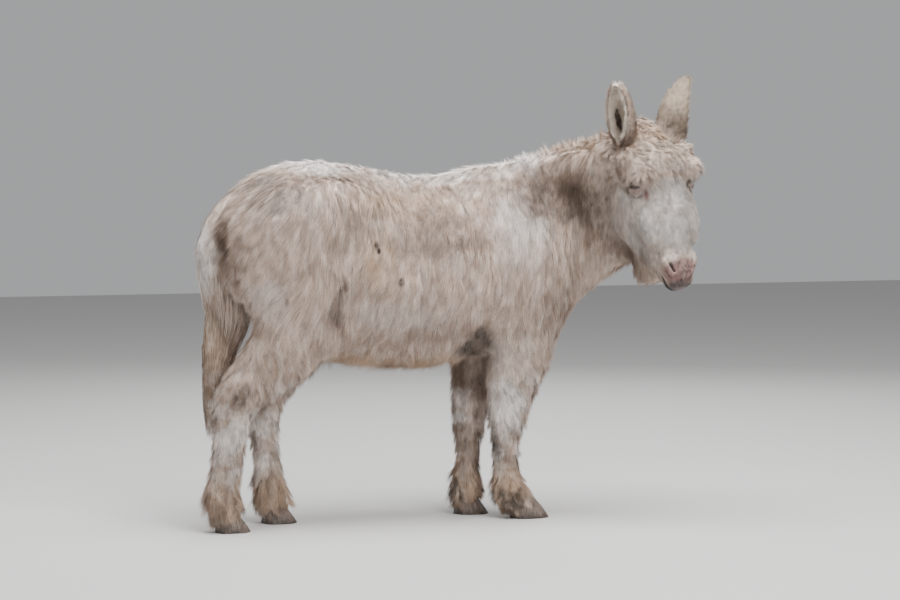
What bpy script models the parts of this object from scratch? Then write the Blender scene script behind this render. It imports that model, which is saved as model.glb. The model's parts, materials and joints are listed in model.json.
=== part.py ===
"""A donkey standing square in a long winter coat, head turned to its right.

Metres. +X is the way the body faces, +Y its left, +Z up, the floor is z = 0.
Every solid runs out to the tips of the coat.  One rounded surface is worked
out for the whole animal; each part is that surface cut off by thin plane cuts.
"""
import math

import bmesh
import bpy
import numpy as np
from mathutils import Matrix

for ob in list(bpy.data.objects):
    bpy.data.objects.remove(ob, do_unlink=True)

UP = np.array([0.0, 0.0, 1.0])
GAP = 0.0003                      # between two parts that touch
BODY_AT = np.array([-0.187, 0.067, 0.0])   # puts the box of the whole on the origin

# ---------------------------------------------------------------- head frame
POLL = np.array([0.762, -0.212, 1.150])
FACE_YAW = math.radians(75)       # the face is turned this far to its right
FACE_TILT = math.radians(18)      # the muzzle is this far forward of hanging
HEAD_ROLL = math.radians(4)


def head_axes():
    """Down the face, out of the forehead, to the head's left."""
    forward = np.array([math.cos(FACE_YAW), -math.sin(FACE_YAW), 0.0])
    left = np.cross(UP, forward)
    down = math.sin(FACE_TILT) * forward - math.cos(FACE_TILT) * UP
    front = math.cos(FACE_TILT) * forward + math.sin(FACE_TILT) * UP
    c, s = math.cos(HEAD_ROLL), math.sin(HEAD_ROLL)
    return c * down + s * left, front, c * left - s * down


DOWN, FRONT, LEFT = head_axes()
HEAD_AXES = np.array([DOWN, FRONT, LEFT])


def on_head(down, front, left=0.0):
    return POLL + down * DOWN + front * FRONT + left * LEFT


def head_station(down, top, bottom, half):
    x, y, z = on_head(down, (top + bottom) / 2)
    return (x, y, z, half, (top - bottom) / 2)


# ------------------------------------------------ stations: x, y, z, half width, half depth
TRUNK = [
    (-0.458, 0, 0.835, 0.085, 0.090),
    (-0.402, 0, 0.830, 0.150, 0.160),
    (-0.330, 0, 0.825, 0.188, 0.225),
    (-0.230, 0, 0.815, 0.205, 0.265),
    (-0.080, 0, 0.765, 0.215, 0.292),
    (0.080, 0, 0.743, 0.222, 0.288),
    (0.200, 0, 0.750, 0.212, 0.285),
    (0.320, 0, 0.775, 0.185, 0.272),
    (0.430, 0, 0.790, 0.158, 0.240),
    (0.510, 0, 0.775, 0.138, 0.190),
    (0.555, 0, 0.750, 0.098, 0.120),
]
NECK = [
    (0.400, 0.000, 0.812, 0.130, 0.238),
    (0.510, -0.012, 0.858, 0.108, 0.218),
    (0.600, -0.050, 0.898, 0.096, 0.210),
    (0.680, -0.110, 0.945, 0.088, 0.195),
    (0.745, -0.175, 1.010, 0.080, 0.165),
]
MANE = [
    (0.400, 0.000, 1.020, 0.030, 0.035),
    (0.500, -0.010, 1.055, 0.028, 0.036),
    (0.590, -0.046, 1.083, 0.027, 0.036),
    (0.670, -0.105, 1.108, 0.027, 0.036),
    (0.735, -0.170, 1.134, 0.028, 0.034),
]
HEAD = [
    head_station(0.01, 0.020, -0.095, 0.074),
    head_station(0.06, 0.048, -0.130, 0.102),
    head_station(0.12, 0.068, -0.160, 0.115),
    head_station(0.18, 0.064, -0.180, 0.114),
    head_station(0.25, 0.052, -0.182, 0.105),
    head_station(0.32, 0.038, -0.155, 0.083),
    head_station(0.370, 0.028, -0.108, 0.062),
    head_station(0.410, 0.020, -0.084, 0.052),
    head_station(0.438, 0.002, -0.074, 0.044),
]
RIGHT_FORE = [
    (0.430, -0.085, 0.620, 0.070, 0.120),
    (0.422, -0.085, 0.520, 0.062, 0.100),
    (0.393, -0.082, 0.440, 0.056, 0.092),
    (0.379, -0.080, 0.360, 0.050, 0.073),
    (0.370, -0.078, 0.290, 0.047, 0.058),
    (0.366, -0.076, 0.210, 0.037, 0.042),
    (0.370, -0.075, 0.155, 0.036, 0.039),
    (0.373, -0.075, 0.115, 0.043, 0.048),
    (0.393, -0.075, 0.070, 0.042, 0.053),
    (0.415, -0.075, 0.030, 0.043, 0.052),
]
LEFT_FORE = [
    (0.370, 0.085, 0.620, 0.070, 0.110),
    (0.345, 0.080, 0.520, 0.062, 0.095),
    (0.325, 0.078, 0.440, 0.056, 0.080),
    (0.313, 0.075, 0.360, 0.050, 0.066),
    (0.305, 0.072, 0.290, 0.047, 0.056),
    (0.300, 0.070, 0.210, 0.037, 0.041),
    (0.297, 0.068, 0.155, 0.036, 0.038),
    (0.294, 0.067, 0.115, 0.043, 0.047),
    (0.296, 0.066, 0.070, 0.042, 0.053),
    (0.305, 0.066, 0.030, 0.043, 0.050),
]
RIGHT_HIND = [
    (-0.280, -0.110, 0.800, 0.085, 0.150),
    (-0.285, -0.110, 0.680, 0.082, 0.145),
    (-0.298, -0.108, 0.590, 0.074, 0.127),
    (-0.340, -0.104, 0.520, 0.064, 0.112),
    (-0.405, -0.098, 0.450, 0.052, 0.086),
    (-0.460, -0.096, 0.390, 0.044, 0.067),
    (-0.482, -0.092, 0.320, 0.042, 0.057),
    (-0.485, -0.088, 0.240, 0.041, 0.051),
    (-0.494, -0.085, 0.175, 0.041, 0.049),
    (-0.503, -0.082, 0.125, 0.045, 0.052),
    (-0.495, -0.080, 0.080, 0.045, 0.054),
    (-0.480, -0.080, 0.030, 0.044, 0.050),
]
LEFT_HIND = [
    (-0.270, 0.110, 0.800, 0.085, 0.150),
    (-0.250, 0.110, 0.680, 0.082, 0.145),
    (-0.225, 0.106, 0.590, 0.074, 0.125),
    (-0.250, 0.098, 0.520, 0.064, 0.105),
    (-0.285, 0.088, 0.450, 0.054, 0.082),
    (-0.320, 0.078, 0.390, 0.047, 0.064),
    (-0.338, 0.070, 0.320, 0.042, 0.053),
    (-0.335, 0.065, 0.240, 0.038, 0.045),
    (-0.328, 0.062, 0.175, 0.037, 0.043),
    (-0.325, 0.060, 0.125, 0.044, 0.049),
    (-0.313, 0.060, 0.080, 0.044, 0.055),
    (-0.295, 0.060, 0.030, 0.043, 0.050),
]
TAIL = [
    (-0.428, 0.000, 0.955, 0.034, 0.036),
    (-0.464, 0.000, 0.890, 0.040, 0.042),
    (-0.482, 0.000, 0.800, 0.045, 0.046),
    (-0.478, 0.006, 0.700, 0.046, 0.052),
    (-0.470, 0.018, 0.600, 0.040, 0.056),
    (-0.484, 0.020, 0.500, 0.033, 0.042),
    (-0.503, 0.018, 0.390, 0.023, 0.023),
    (-0.514, 0.018, 0.290, 0.010, 0.010),
]

# rounded forms over the stations: centre, radii, blend; both sides where off the middle
BODY_FORMS = {
    "haunch": ((-0.270, 0.115, 0.890), (0.150, 0.085, 0.120), 0.05),
    "hip": ((-0.160, 0.138, 0.940), (0.090, 0.050, 0.060), 0.08),
    "shoulder": ((0.395, 0.112, 0.740), (0.100, 0.055, 0.170), 0.05),
    "breast": ((0.522, 0.055, 0.640), (0.055, 0.060, 0.085), 0.04),
    "elbow": ((0.350, 0.105, 0.560), (0.045, 0.040, 0.050), 0.03),
    "stifle": ((-0.205, 0.120, 0.590), (0.060, 0.055, 0.065), 0.04),
}
# the same on the head: down the face, out of the forehead, to the side
HEAD_FORMS = {
    "forelock": ((0.108, 0.040, 0.0), (0.056, 0.045, 0.080), 0.03),
    "temple": ((0.084, -0.004, 0.098), (0.054, 0.060, 0.040), 0.03),
    "brow": ((0.134, 0.024, 0.092), (0.036, 0.056, 0.037), 0.035),
    "cheek_bone": ((0.256, -0.010, 0.070), (0.094, 0.045, 0.037), 0.03),
    "cheek": ((0.205, -0.100, 0.062), (0.100, 0.085, 0.055), 0.03),
    "jaw_beard": ((0.340, -0.128, 0.0), (0.092, 0.076, 0.052), 0.03),
    "nostril_wing": ((0.396, -0.008, 0.034), (0.036, 0.034, 0.025), 0.015),
    "upper_lip": ((0.428, -0.020, 0.0), (0.026, 0.038, 0.042), 0.015),
    "lower_lip": ((0.424, -0.068, 0.0), (0.026, 0.024, 0.034), 0.012),
}
HEAD_HOLLOWS = {
    "eye_hollow": ((0.172, 0.010, 0.128), (0.022, 0.030, 0.024), 0.012),
    "nostril": ((0.404, 0.004, 0.053), (0.021, 0.012, 0.010), 0.006),
}
EYE_AT = (0.170, 0.002, 0.095)
EYE_RADIUS = 0.019

# ears: the animal's left one is 1, its right one -1
EAR_LENGTH = 0.205
EAR_ROOT = {1: (0.022, -0.014, 0.080), -1: (0.026, -0.026, -0.070)}
EAR_FORWARD = {1: math.radians(18), -1: math.radians(38)}
EAR_OUT = {1: math.radians(34), -1: math.radians(25)}
EAR_TURN = math.radians(62)       # the opening looks this far out from the face
EAR_DEEP = 1.5                    # how much deeper the roll is than it is wide
EAR_WALL = 0.009
EAR_SHAPE = [                     # along, half width, half angle of the roll
    (0.00, 0.025, 180), (0.15, 0.032, 158), (0.35, 0.039, 126),
    (0.60, 0.038, 104), (0.82, 0.030, 88), (0.94, 0.019, 76), (1.00, 0.008, 70),
]

# ---------------------------------------------------------------- where the parts meet
NECK_CUT = (np.array([0.465, 0.0, 0.880]), np.array([0.764, 0.0, 0.645]))
HEAD_CUT = (on_head(-0.02, -0.080), 0.38 * DOWN + 0.925 * FRONT)
FORE_BLOCK = [(0.215, -0.02), (0.600, -0.02), (0.600, 0.625), (0.238, 0.575)]
HIND_BLOCK = [(-0.600, -0.02), (-0.232, -0.02), (-0.115, 0.600), (-0.600, 0.600)]
TAIL_BLOCK = [(-0.620, 0.150), (-0.395, 0.150), (-0.424, 1.050), (-0.620, 1.050)]
TAIL_HALF = 0.058
SWITCH_TOP = 0.770
KNEE_Z, HOCK_Z = 0.350, 0.375
HOOVES = {                        # heel x, toe x, middle y
    "right_fore": (0.385, 0.503, -0.075),
    "left_fore": (0.257, 0.362, 0.066),
    "right_hind": (-0.522, -0.420, -0.080),
    "left_hind": (-0.346, -0.240, 0.060),
}
HOOF_HALF, TOE_HIGH, HEEL_HIGH, TOE_RAKE = 0.042, 0.056, 0.034, 0.044


# ---------------------------------------------------------------- rounded surfaces
def smooth_min(a, b, k):
    h = np.clip(0.5 + 0.5 * (b - a) / k, 0, 1)
    return b * (1 - h) + a * h - k * h * (1 - h)


def ellipsoid(p, centre, radii, axes=None):
    q = p - np.asarray(centre)
    if axes is not None:
        q = q @ np.asarray(axes).T
    radii = np.asarray(radii)
    k0 = np.linalg.norm(q / radii, axis=1)
    k1 = np.linalg.norm(q / radii ** 2, axis=1)
    return k0 * (k0 - 1) / np.maximum(k1, 1e-9)


def through(rows, per):
    """A smooth run through every row, per steps to each stretch."""
    r = np.asarray(rows, float)
    r = np.vstack([2 * r[0] - r[1], r, 2 * r[-1] - r[-2]])
    out = []
    for i in range(1, len(r) - 2):
        for t in np.arange(per) / per:
            a, b, c, d = r[i - 1], r[i], r[i + 1], r[i + 2]
            out.append(0.5 * (2 * b + (c - a) * t + (2 * a - 5 * b + 4 * c - d) * t * t
                              + (3 * b - a - 3 * c + d) * t ** 3))
    return np.vstack(out + [r[-2]])


def swept(p, stations, left=(0, 1, 0), egg=0.0, per=4):
    """Distance to an oval limb run through its stations."""
    rows = through(stations, per)
    centre, half = rows[:, :3], rows[:, 3:]
    reach = half.max() + 0.12
    near = np.all((p > centre.min(0) - reach) & (p < centre.max(0) + reach), axis=1)
    out = np.full(len(p), 1.0)
    if not near.any():
        return out
    q = p[near]
    best = np.full(len(q), 1e3)
    left = np.asarray(left, float)
    for i in range(len(rows) - 1):
        a, b = centre[i], centre[i + 1]
        along = b - a
        length = np.linalg.norm(along)
        along = along / length
        side = left - np.dot(left, along) * along
        side /= np.linalg.norm(side)
        deep = np.cross(along, side)
        v = q - a
        s = v @ along
        t = np.clip(s / length, 0, 1)
        w = half[i][0] * (1 - t) + half[i + 1][0] * t
        h = half[i][1] * (1 - t) + half[i + 1][1] * t
        x, y = v @ side, v @ deep
        w = w * (1 + egg * np.clip(y / h, -1, 1))
        over = s - t * length
        k0 = np.sqrt((x / w) ** 2 + (y / h) ** 2 + (over / w) ** 2)
        k1 = np.sqrt((x / w ** 2) ** 2 + (y / h ** 2) ** 2 + (over / w ** 2) ** 2)
        best = np.minimum(best, k0 * (k0 - 1) / np.maximum(k1, 1e-6))
    out[near] = best
    return out


def with_forms(d, p, forms, place, axes=None, sign=1):
    for (x, y, z), radii, k in forms.values():
        off = y if axes is None else z
        for side in ((1, -1) if off else (1,)):
            at = place((x, y * side, z)) if axes is None else place((x, y, z * side))
            e = ellipsoid(p, at, radii, axes)
            d = smooth_min(d, e, k) if sign > 0 else -smooth_min(-d, e, k)
    return d


def head(p):
    d = swept(p, HEAD, left=LEFT, egg=-0.1)
    d = with_forms(d, p, HEAD_FORMS, lambda c: on_head(*c), HEAD_AXES)
    return with_forms(d, p, HEAD_HOLLOWS, lambda c: on_head(*c), HEAD_AXES, -1)


def torso(p):
    d = smooth_min(swept(p, TRUNK, egg=-0.16), swept(p, NECK, egg=-0.25), 0.09)
    d = with_forms(d, p, BODY_FORMS, np.array)
    d = smooth_min(d, swept(p, MANE), 0.03)
    return smooth_min(d, head(p), 0.035)


def body(p):
    """The whole animal but its ears and tail."""
    base = torso(p)
    d = base
    for leg in (RIGHT_FORE, LEFT_FORE, RIGHT_HIND, LEFT_HIND):
        d = np.minimum(d, smooth_min(base, swept(p, leg), 0.05))
    return d


def tail(p):
    return smooth_min(torso(p), swept(p, TAIL), 0.02)


def body_and_tail(p):
    return np.minimum(body(p), tail(p))


def ear_frame(side):
    """Root, then along the ear, out of its opening, and across it."""
    out, lean = EAR_OUT[side], EAR_FORWARD[side]
    along = (math.cos(out) * (math.sin(lean) * FRONT - math.cos(lean) * DOWN)
             + side * math.sin(out) * LEFT)
    opening = math.cos(EAR_TURN) * FRONT + side * math.sin(EAR_TURN) * LEFT
    opening = opening - np.dot(opening, along) * along
    opening /= np.linalg.norm(opening)
    return on_head(*EAR_ROOT[side]), along, opening, np.cross(along, opening)


def ear(side):
    root, along, opening, across = ear_frame(side)
    shape = through(EAR_SHAPE, 5)

    def distance(p):
        q = p - root
        t = q @ along / EAR_LENGTH
        u, v = q @ opening / EAR_DEEP, q @ across
        wide = np.interp(t, shape[:, 0], shape[:, 1])
        roll = np.radians(np.interp(t, shape[:, 0], shape[:, 2]))
        r, turn = np.hypot(u, v), np.abs(np.arctan2(v, -u))
        wall = np.abs(r - wide + EAR_WALL / 2) - EAR_WALL / 2
        shell = np.maximum(wall, (turn - roll) * r)
        shell = np.maximum(shell, (t - 1) * EAR_LENGTH)
        shell = np.maximum(shell, -t * EAR_LENGTH - 0.012)
        plug = np.maximum(r - wide, (t - 0.10) * EAR_LENGTH)
        plug = np.maximum(plug, -t * EAR_LENGTH - 0.012)
        return smooth_min(shell, plug, 0.006)
    return distance


def unpinched(f, tiny):
    """Fill the grid squares whose two inside corners touch only across them."""
    for _ in range(8):
        found = 0
        for p, q in ((0, 1), (0, 2), (1, 2)):
            g = np.moveaxis(f, (p, q), (0, 1))
            part = [g[i:len(g) - 1 + i, j:g.shape[1] - 1 + j] for i in (0, 1) for j in (0, 1)]
            a, b, c, d = [x < 0 for x in part]
            bad = (a & d & ~b & ~c) | (b & c & ~a & ~d)
            found += bad.sum()
            for x in part:
                x[bad] = np.minimum(x[bad], -tiny)
        if not found:
            break
    return f


def surface(field, low, high, step):
    """Closed quads round the part of field below nought inside a box."""
    low, high = np.asarray(low, float), np.asarray(high, float)
    n = np.ceil((high - low) / step).astype(int) + 1

    def grid(m, s):
        axes = [low[i] + s * np.arange(m[i]) for i in range(3)]
        return np.stack(np.meshgrid(*axes, indexing="ij"), -1).reshape(-1, 3)

    coarse = 3
    m = (n + coarse - 1) // coarse + 1
    rough = field(grid(m, step * coarse)).reshape(m)
    rough = np.kron(rough, np.ones((coarse,) * 3))[:n[0] + 3, :n[1] + 3, :n[2] + 3]
    f = np.roll(rough, (1, 1, 1), (0, 1, 2))[:n[0], :n[1], :n[2]].copy()
    fine = np.abs(f.ravel()) < step * coarse * 2.2
    pts = grid(n, step)[fine]
    f.ravel()[fine] = np.concatenate([field(c) for c in np.array_split(pts, len(pts) // 200000 + 1)])
    for axis in range(3):
        edge = np.moveaxis(f, axis, 0)
        edge[0] = edge[-1] = np.maximum(edge[0], step / 2)
        edge[0] = np.maximum(edge[0], step / 2)
        edge[-1] = np.maximum(edge[-1], step / 2)

    unpinched(f, step * 0.02)
    inside = f < 0
    total = np.zeros(tuple(n - 1) + (3,))
    count = np.zeros(tuple(n - 1))
    corners = [(i, j, k) for i in (0, 1) for j in (0, 1) for k in (0, 1)]
    view = {c: tuple(slice(c[a], n[a] - 1 + c[a]) for a in range(3)) for c in corners}
    for c in corners:
        for axis in range(3):
            if c[axis]:
                continue
            d = tuple(1 if a == axis else c[a] for a in range(3))
            fa, fb = f[view[c]], f[view[d]]
            cross = inside[view[c]] != inside[view[d]]
            t = np.where(cross, fa / np.where(cross, fa - fb, 1), 0)
            for a in range(3):
                total[..., a] += np.where(cross, c[a] + (t if a == axis else 0), 0)
            count += cross
    has = count > 0
    number = np.full(has.shape, -1)
    number[has] = np.arange(has.sum())
    where = np.argwhere(has)
    points = low + step * (where + total[has] / count[has][:, None])
    quads = []
    for axis in range(3):
        b, c = (axis + 1) % 3, (axis + 2) % 3
        one = [slice(1, -1)] * 3
        one[axis] = slice(0, n[axis] - 1)
        two = list(one)
        two[axis] = slice(1, n[axis])
        ia, ib = inside[tuple(one)], inside[tuple(two)]
        at = np.argwhere(ia != ib) + [0 if a == axis else 1 for a in range(3)]
        flip = ib[ia != ib]

        def cell(db, dc):
            q = at.copy()
            q[:, b] -= db
            q[:, c] -= dc
            return number[q[:, 0], q[:, 1], q[:, 2]]
        ring = np.stack([cell(1, 1), cell(0, 1), cell(0, 0), cell(1, 0)], 1)
        ring[flip] = ring[flip][:, ::-1]
        quads.append(ring)
    return points, np.vstack(quads)


# ---------------------------------------------------------------- solids and cuts
def add(name, points, faces):
    mesh = bpy.data.meshes.new(name)
    mesh.from_pydata([tuple(map(float, p)) for p in points], [], [tuple(map(int, q)) for q in faces])
    ob = bpy.data.objects.new(name, mesh)
    bpy.context.scene.collection.objects.link(ob)
    return ob


def settled(ob):
    """Take what the modifiers made as the object's own mesh."""
    graph = bpy.context.evaluated_depsgraph_get()
    ob.data = bpy.data.meshes.new_from_object(ob.evaluated_get(graph))
    ob.modifiers.clear()
    return ob


def grown(name, field, low, high, step, budget):
    """The surface inside a box, thinned to a number of triangles."""
    ob = add(name, *surface(field, low, high, step))
    bm = bmesh.new()
    bm.from_mesh(ob.data)
    bmesh.ops.triangulate(bm, faces=bm.faces)
    bm.to_mesh(ob.data)
    bm.free()
    thin = ob.modifiers.new("thin", "DECIMATE")
    thin.ratio = budget / len(ob.data.polygons)
    return settled(ob)


def boolean(ob, cutter, operation):
    mod = ob.modifiers.new(operation, "BOOLEAN")
    mod.operation, mod.solver, mod.object = operation, "EXACT", cutter
    settled(ob)
    return ob


def prism(profile, y0, y1, grow):
    """A convex outline in the XZ plane carried from y0 to y1, grown all round."""
    pts = [np.array(p) for p in profile]
    area = sum(a[0] * b[1] - b[0] * a[1] for a, b in zip(pts, pts[1:] + pts[:1]))
    if area < 0:
        pts = pts[::-1]
    lines = []
    for a, b in zip(pts, pts[1:] + pts[:1]):
        n = np.array([b[1] - a[1], a[0] - b[0]])
        n = n / np.linalg.norm(n)
        lines.append((n, n @ a + grow))
    ring = [np.linalg.solve([m[0], n[0]], [m[1], n[1]])
            for m, n in zip(lines[-1:] + lines[:-1], lines)]
    k = len(ring)
    points = [(x, y, z) for y in (y0 - grow, y1 + grow) for x, z in ring]
    faces = [tuple(range(k)), tuple(range(2 * k - 1, k - 1, -1))]
    faces += [(i, i + k, (i + 1) % k + k, (i + 1) % k) for i in range(k)]
    return add("cutter", points, faces)


def cut(ob, operation, cutter):
    boolean(ob, cutter, operation)
    bpy.data.objects.remove(cutter, do_unlink=True)
    return ob


def trim(ob, plane, keep):
    """Keep what lies on the far (1) or near (-1) side of a plane, closed flat."""
    point, normal = plane
    normal = normal / np.linalg.norm(normal)
    bm = bmesh.new()
    bm.from_mesh(ob.data)
    at = point + normal * keep * GAP / 2
    geometry = bm.verts[:] + bm.edges[:] + bm.faces[:]
    made = bmesh.ops.bisect_plane(bm, geom=geometry, dist=1e-6, plane_co=at, plane_no=normal,
                                  clear_outer=keep < 0, clear_inner=keep > 0)
    rim = [g for g in made["geom_cut"] if isinstance(g, bmesh.types.BMEdge)]
    bmesh.ops.contextual_create(bm, geom=rim)
    bmesh.ops.recalc_face_normals(bm, faces=bm.faces)
    bm.to_mesh(ob.data)
    bm.free()
    return ob


def level(z):
    return (np.array([0.0, 0.0, z]), UP)


def coronet(name):
    """The slanting plane between the coat of a foot and its hoof."""
    heel, toe, y = HOOVES[name]
    slope = (TOE_HIGH - HEEL_HIGH) / (toe - TOE_RAKE - heel)
    return (np.array([heel, y, HEEL_HIGH]), np.array([-slope, 0.0, 1.0]))


# ---------------------------------------------------------------- trunk, neck, head
trunk = grown("trunk", body_and_tail, (-0.60, -0.30, 0.36), (0.68, 0.30, 1.16), 0.014, 2550)
trim(trunk, NECK_CUT, -1)
cut(trunk, "DIFFERENCE", prism(FORE_BLOCK, -0.40, 0.40, GAP / 2))
cut(trunk, "DIFFERENCE", prism(HIND_BLOCK, -0.40, 0.40, GAP / 2))
cut(trunk, "DIFFERENCE", prism(TAIL_BLOCK, -TAIL_HALF, TAIL_HALF, GAP / 2))

neck = grown("neck", body, (0.28, -0.46, 0.54), (0.92, 0.26, 1.28), 0.012, 1150)
trim(neck, NECK_CUT, 1)
trim(neck, HEAD_CUT, -1)

skull = grown("head", body, (0.60, -0.56, 0.60), (0.98, -0.02, 1.26), 0.0065, 2650)
trim(skull, HEAD_CUT, 1)
for side, name in ((1, "left"), (-1, "right")):
    x, y, z = EYE_AT
    centre = on_head(x, y, side * z)
    for r, kind in ((EYE_RADIUS + GAP, "cutter"), (EYE_RADIUS, "eye_" + name)):
        bm = bmesh.new()
        bmesh.ops.create_icosphere(bm, subdivisions=2, radius=r)
        bmesh.ops.translate(bm, vec=tuple(centre), verts=bm.verts)
        ball = add(kind, [], [])
        bm.to_mesh(ball.data)
        bm.free()
        if kind == "cutter":
            cut(skull, "DIFFERENCE", ball)

    root, along, opening, across = ear_frame(side)
    box = np.array([root + along * t * EAR_LENGTH + opening * u + across * v
                    for t in (-0.12, 1.05) for u in (-0.06, 0.06) for v in (-0.05, 0.05)])
    grown("ear_" + name, ear(side), box.min(0), box.max(0), 0.0035, 400)
    ring, rows = 16, ((-0.0150, 0.0290), (0.0308, 0.0362), (0.074, 0.0430), (0.170, 0.0430))
    points = [root + along * h + r * (EAR_DEEP * math.cos(a) * opening + math.sin(a) * across)
              for h, r in rows for a in np.arange(ring) * 2 * math.pi / ring]
    last = len(rows) - 1
    faces = [tuple(range(ring - 1, -1, -1)), tuple(range(last * ring, (last + 1) * ring))]
    faces += [(k * ring + i, k * ring + (i + 1) % ring, (k + 1) * ring + (i + 1) % ring,
               (k + 1) * ring + i) for k in range(last) for i in range(ring)]
    cut(skull, "DIFFERENCE", add("cutter", points, faces))

# ---------------------------------------------------------------- tail
for name, low, plane, keep, budget in (
        ("tail_dock", 0.70, level(SWITCH_TOP), 1, 420), ("tail_switch", 0.24, level(SWITCH_TOP), -1, 520)):
    high = 1.06 if keep > 0 else 0.84
    field = tail if keep > 0 else (lambda p: np.where(p[:, 2] > 0.60, tail(p), swept(p, TAIL)))
    piece = grown(name, field, (-0.60, -0.10, low), (-0.40, 0.10, high), 0.009, budget)
    cut(piece, "INTERSECT", prism(TAIL_BLOCK, -TAIL_HALF, TAIL_HALF, -GAP / 2))
    trim(piece, plane, keep)

# ---------------------------------------------------------------- legs and hooves
LEGS = (
    ("right_fore", FORE_BLOCK, -1, KNEE_Z), ("left_fore", FORE_BLOCK, 1, KNEE_Z),
    ("right_hind", HIND_BLOCK, -1, HOCK_Z), ("left_hind", HIND_BLOCK, 1, HOCK_Z),
)
for name, block, side, joint in LEGS:
    x0, x1 = min(p[0] for p in block) - 0.03, max(p[0] for p in block) + 0.03
    y0, y1 = (-0.30, 0.0) if side < 0 else (0.0, 0.30)
    for part, low, high, keep, budget in (
            ("upper", joint - 0.03, 0.66, 1, 520), ("lower", 0.0, joint + 0.03, -1, 360)):
        piece = grown(name + "_leg_" + part, body, (x0, y0 - 0.03, low), (x1, y1 + 0.03, high), 0.010, budget)
        cut(piece, "INTERSECT", prism(block, y0, y1, -GAP / 2))
        trim(piece, level(joint), keep)
        if part == "lower":
            trim(piece, coronet(name), 1)

    heel, toe, y = HOOVES[name]
    point, normal = coronet(name)
    ring = 16
    points = []
    for rise in (0, 1):
        back = heel + 0.006 * rise
        front = toe - TOE_RAKE * rise
        half = HOOF_HALF * (1 - 0.18 * rise)
        for i in range(ring):
            a = 2 * math.pi * i / ring
            c, s = math.cos(a), math.sin(a)
            px = (back + front) / 2 + (front - back) / 2 * math.copysign(abs(c) ** 0.85, c)
            py = y + half * math.copysign(abs(s) ** 0.85, s)
            pz = rise * (point[2] - GAP / 2 - normal[0] * (px - point[0]))
            points.append((px, py, pz))
    faces = [tuple(range(ring - 1, -1, -1)), tuple(range(ring, 2 * ring))]
    faces += [(i, (i + 1) % ring, ring + (i + 1) % ring, ring + i) for i in range(ring)]
    add(name + "_hoof", points, faces)

# ---------------------------------------------------------------- place and colour
FINISHES = {                      # colour, roughness
    "coat": ((0.60, 0.53, 0.44, 1.0), 0.9),
    "hoof": ((0.26, 0.20, 0.16, 1.0), 0.6),
    "eye": ((0.012, 0.008, 0.006, 1.0), 0.1),
}
for finish, (colour, roughness) in FINISHES.items():
    made = bpy.data.materials.new(finish)
    made.use_nodes = True
    shader = made.node_tree.nodes["Principled BSDF"]
    shader.inputs["Base Color"].default_value = colour
    shader.inputs["Roughness"].default_value = roughness
    shader.inputs["Metallic"].default_value = 0.0

for ob in bpy.data.objects:
    ob.data.transform(Matrix.Translation(BODY_AT))
    finish = next((f for f in ("hoof", "eye") if f in ob.name), "coat")
    ob.data.materials.clear()
    ob.data.materials.append(bpy.data.materials[finish])
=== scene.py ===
"""The donkey's looks: one skin, its coat of locks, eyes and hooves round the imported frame.

Metres.  The shape is worked out in the body's own frame, as the solids are, and
moved by BODY_AT when a mesh is made.  The skin lies inside the solids by the
coat's depth; the locks fill the space between and follow the lie of the hair.
"""
import itertools
import json
import math

import bpy
import numpy as np
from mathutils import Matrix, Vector

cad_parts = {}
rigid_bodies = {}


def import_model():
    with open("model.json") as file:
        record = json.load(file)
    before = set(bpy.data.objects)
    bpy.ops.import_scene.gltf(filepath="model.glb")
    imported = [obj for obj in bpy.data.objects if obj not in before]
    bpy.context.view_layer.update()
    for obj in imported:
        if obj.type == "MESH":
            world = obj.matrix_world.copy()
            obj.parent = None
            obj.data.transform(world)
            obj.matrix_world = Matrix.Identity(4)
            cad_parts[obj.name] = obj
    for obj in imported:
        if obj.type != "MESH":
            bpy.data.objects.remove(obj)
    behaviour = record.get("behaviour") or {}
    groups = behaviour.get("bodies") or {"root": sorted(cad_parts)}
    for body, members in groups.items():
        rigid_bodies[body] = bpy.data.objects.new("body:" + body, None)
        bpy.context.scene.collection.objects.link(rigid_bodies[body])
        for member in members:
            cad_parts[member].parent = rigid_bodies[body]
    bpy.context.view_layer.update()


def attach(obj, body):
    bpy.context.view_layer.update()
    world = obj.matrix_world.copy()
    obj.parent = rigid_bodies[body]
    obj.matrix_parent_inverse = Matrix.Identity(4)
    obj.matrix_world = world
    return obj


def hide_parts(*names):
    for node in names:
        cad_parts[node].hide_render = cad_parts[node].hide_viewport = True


for old in list(bpy.data.objects):
    bpy.data.objects.remove(old)
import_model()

UP = np.array([0.0, 0.0, 1.0])
BODY_AT = np.array([-0.187, 0.067, 0.0])   # puts the box of the whole on the origin

# ---------------------------------------------------------------- head frame
POLL = np.array([0.762, -0.212, 1.150])
FACE_YAW = math.radians(75)       # the face is turned this far to its right
FACE_TILT = math.radians(18)      # the muzzle is this far forward of hanging
HEAD_ROLL = math.radians(4)


def head_axes():
    """Down the face, out of the forehead, to the head's left."""
    forward = np.array([math.cos(FACE_YAW), -math.sin(FACE_YAW), 0.0])
    left = np.cross(UP, forward)
    down = math.sin(FACE_TILT) * forward - math.cos(FACE_TILT) * UP
    front = math.cos(FACE_TILT) * forward + math.sin(FACE_TILT) * UP
    c, s = math.cos(HEAD_ROLL), math.sin(HEAD_ROLL)
    return c * down + s * left, front, c * left - s * down


DOWN, FRONT, LEFT = head_axes()
HEAD_AXES = np.array([DOWN, FRONT, LEFT])


def on_head(down, front, left=0.0):
    return POLL + down * DOWN + front * FRONT + left * LEFT


def head_station(down, top, bottom, half):
    x, y, z = on_head(down, (top + bottom) / 2)
    return (x, y, z, half, (top - bottom) / 2)


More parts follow.
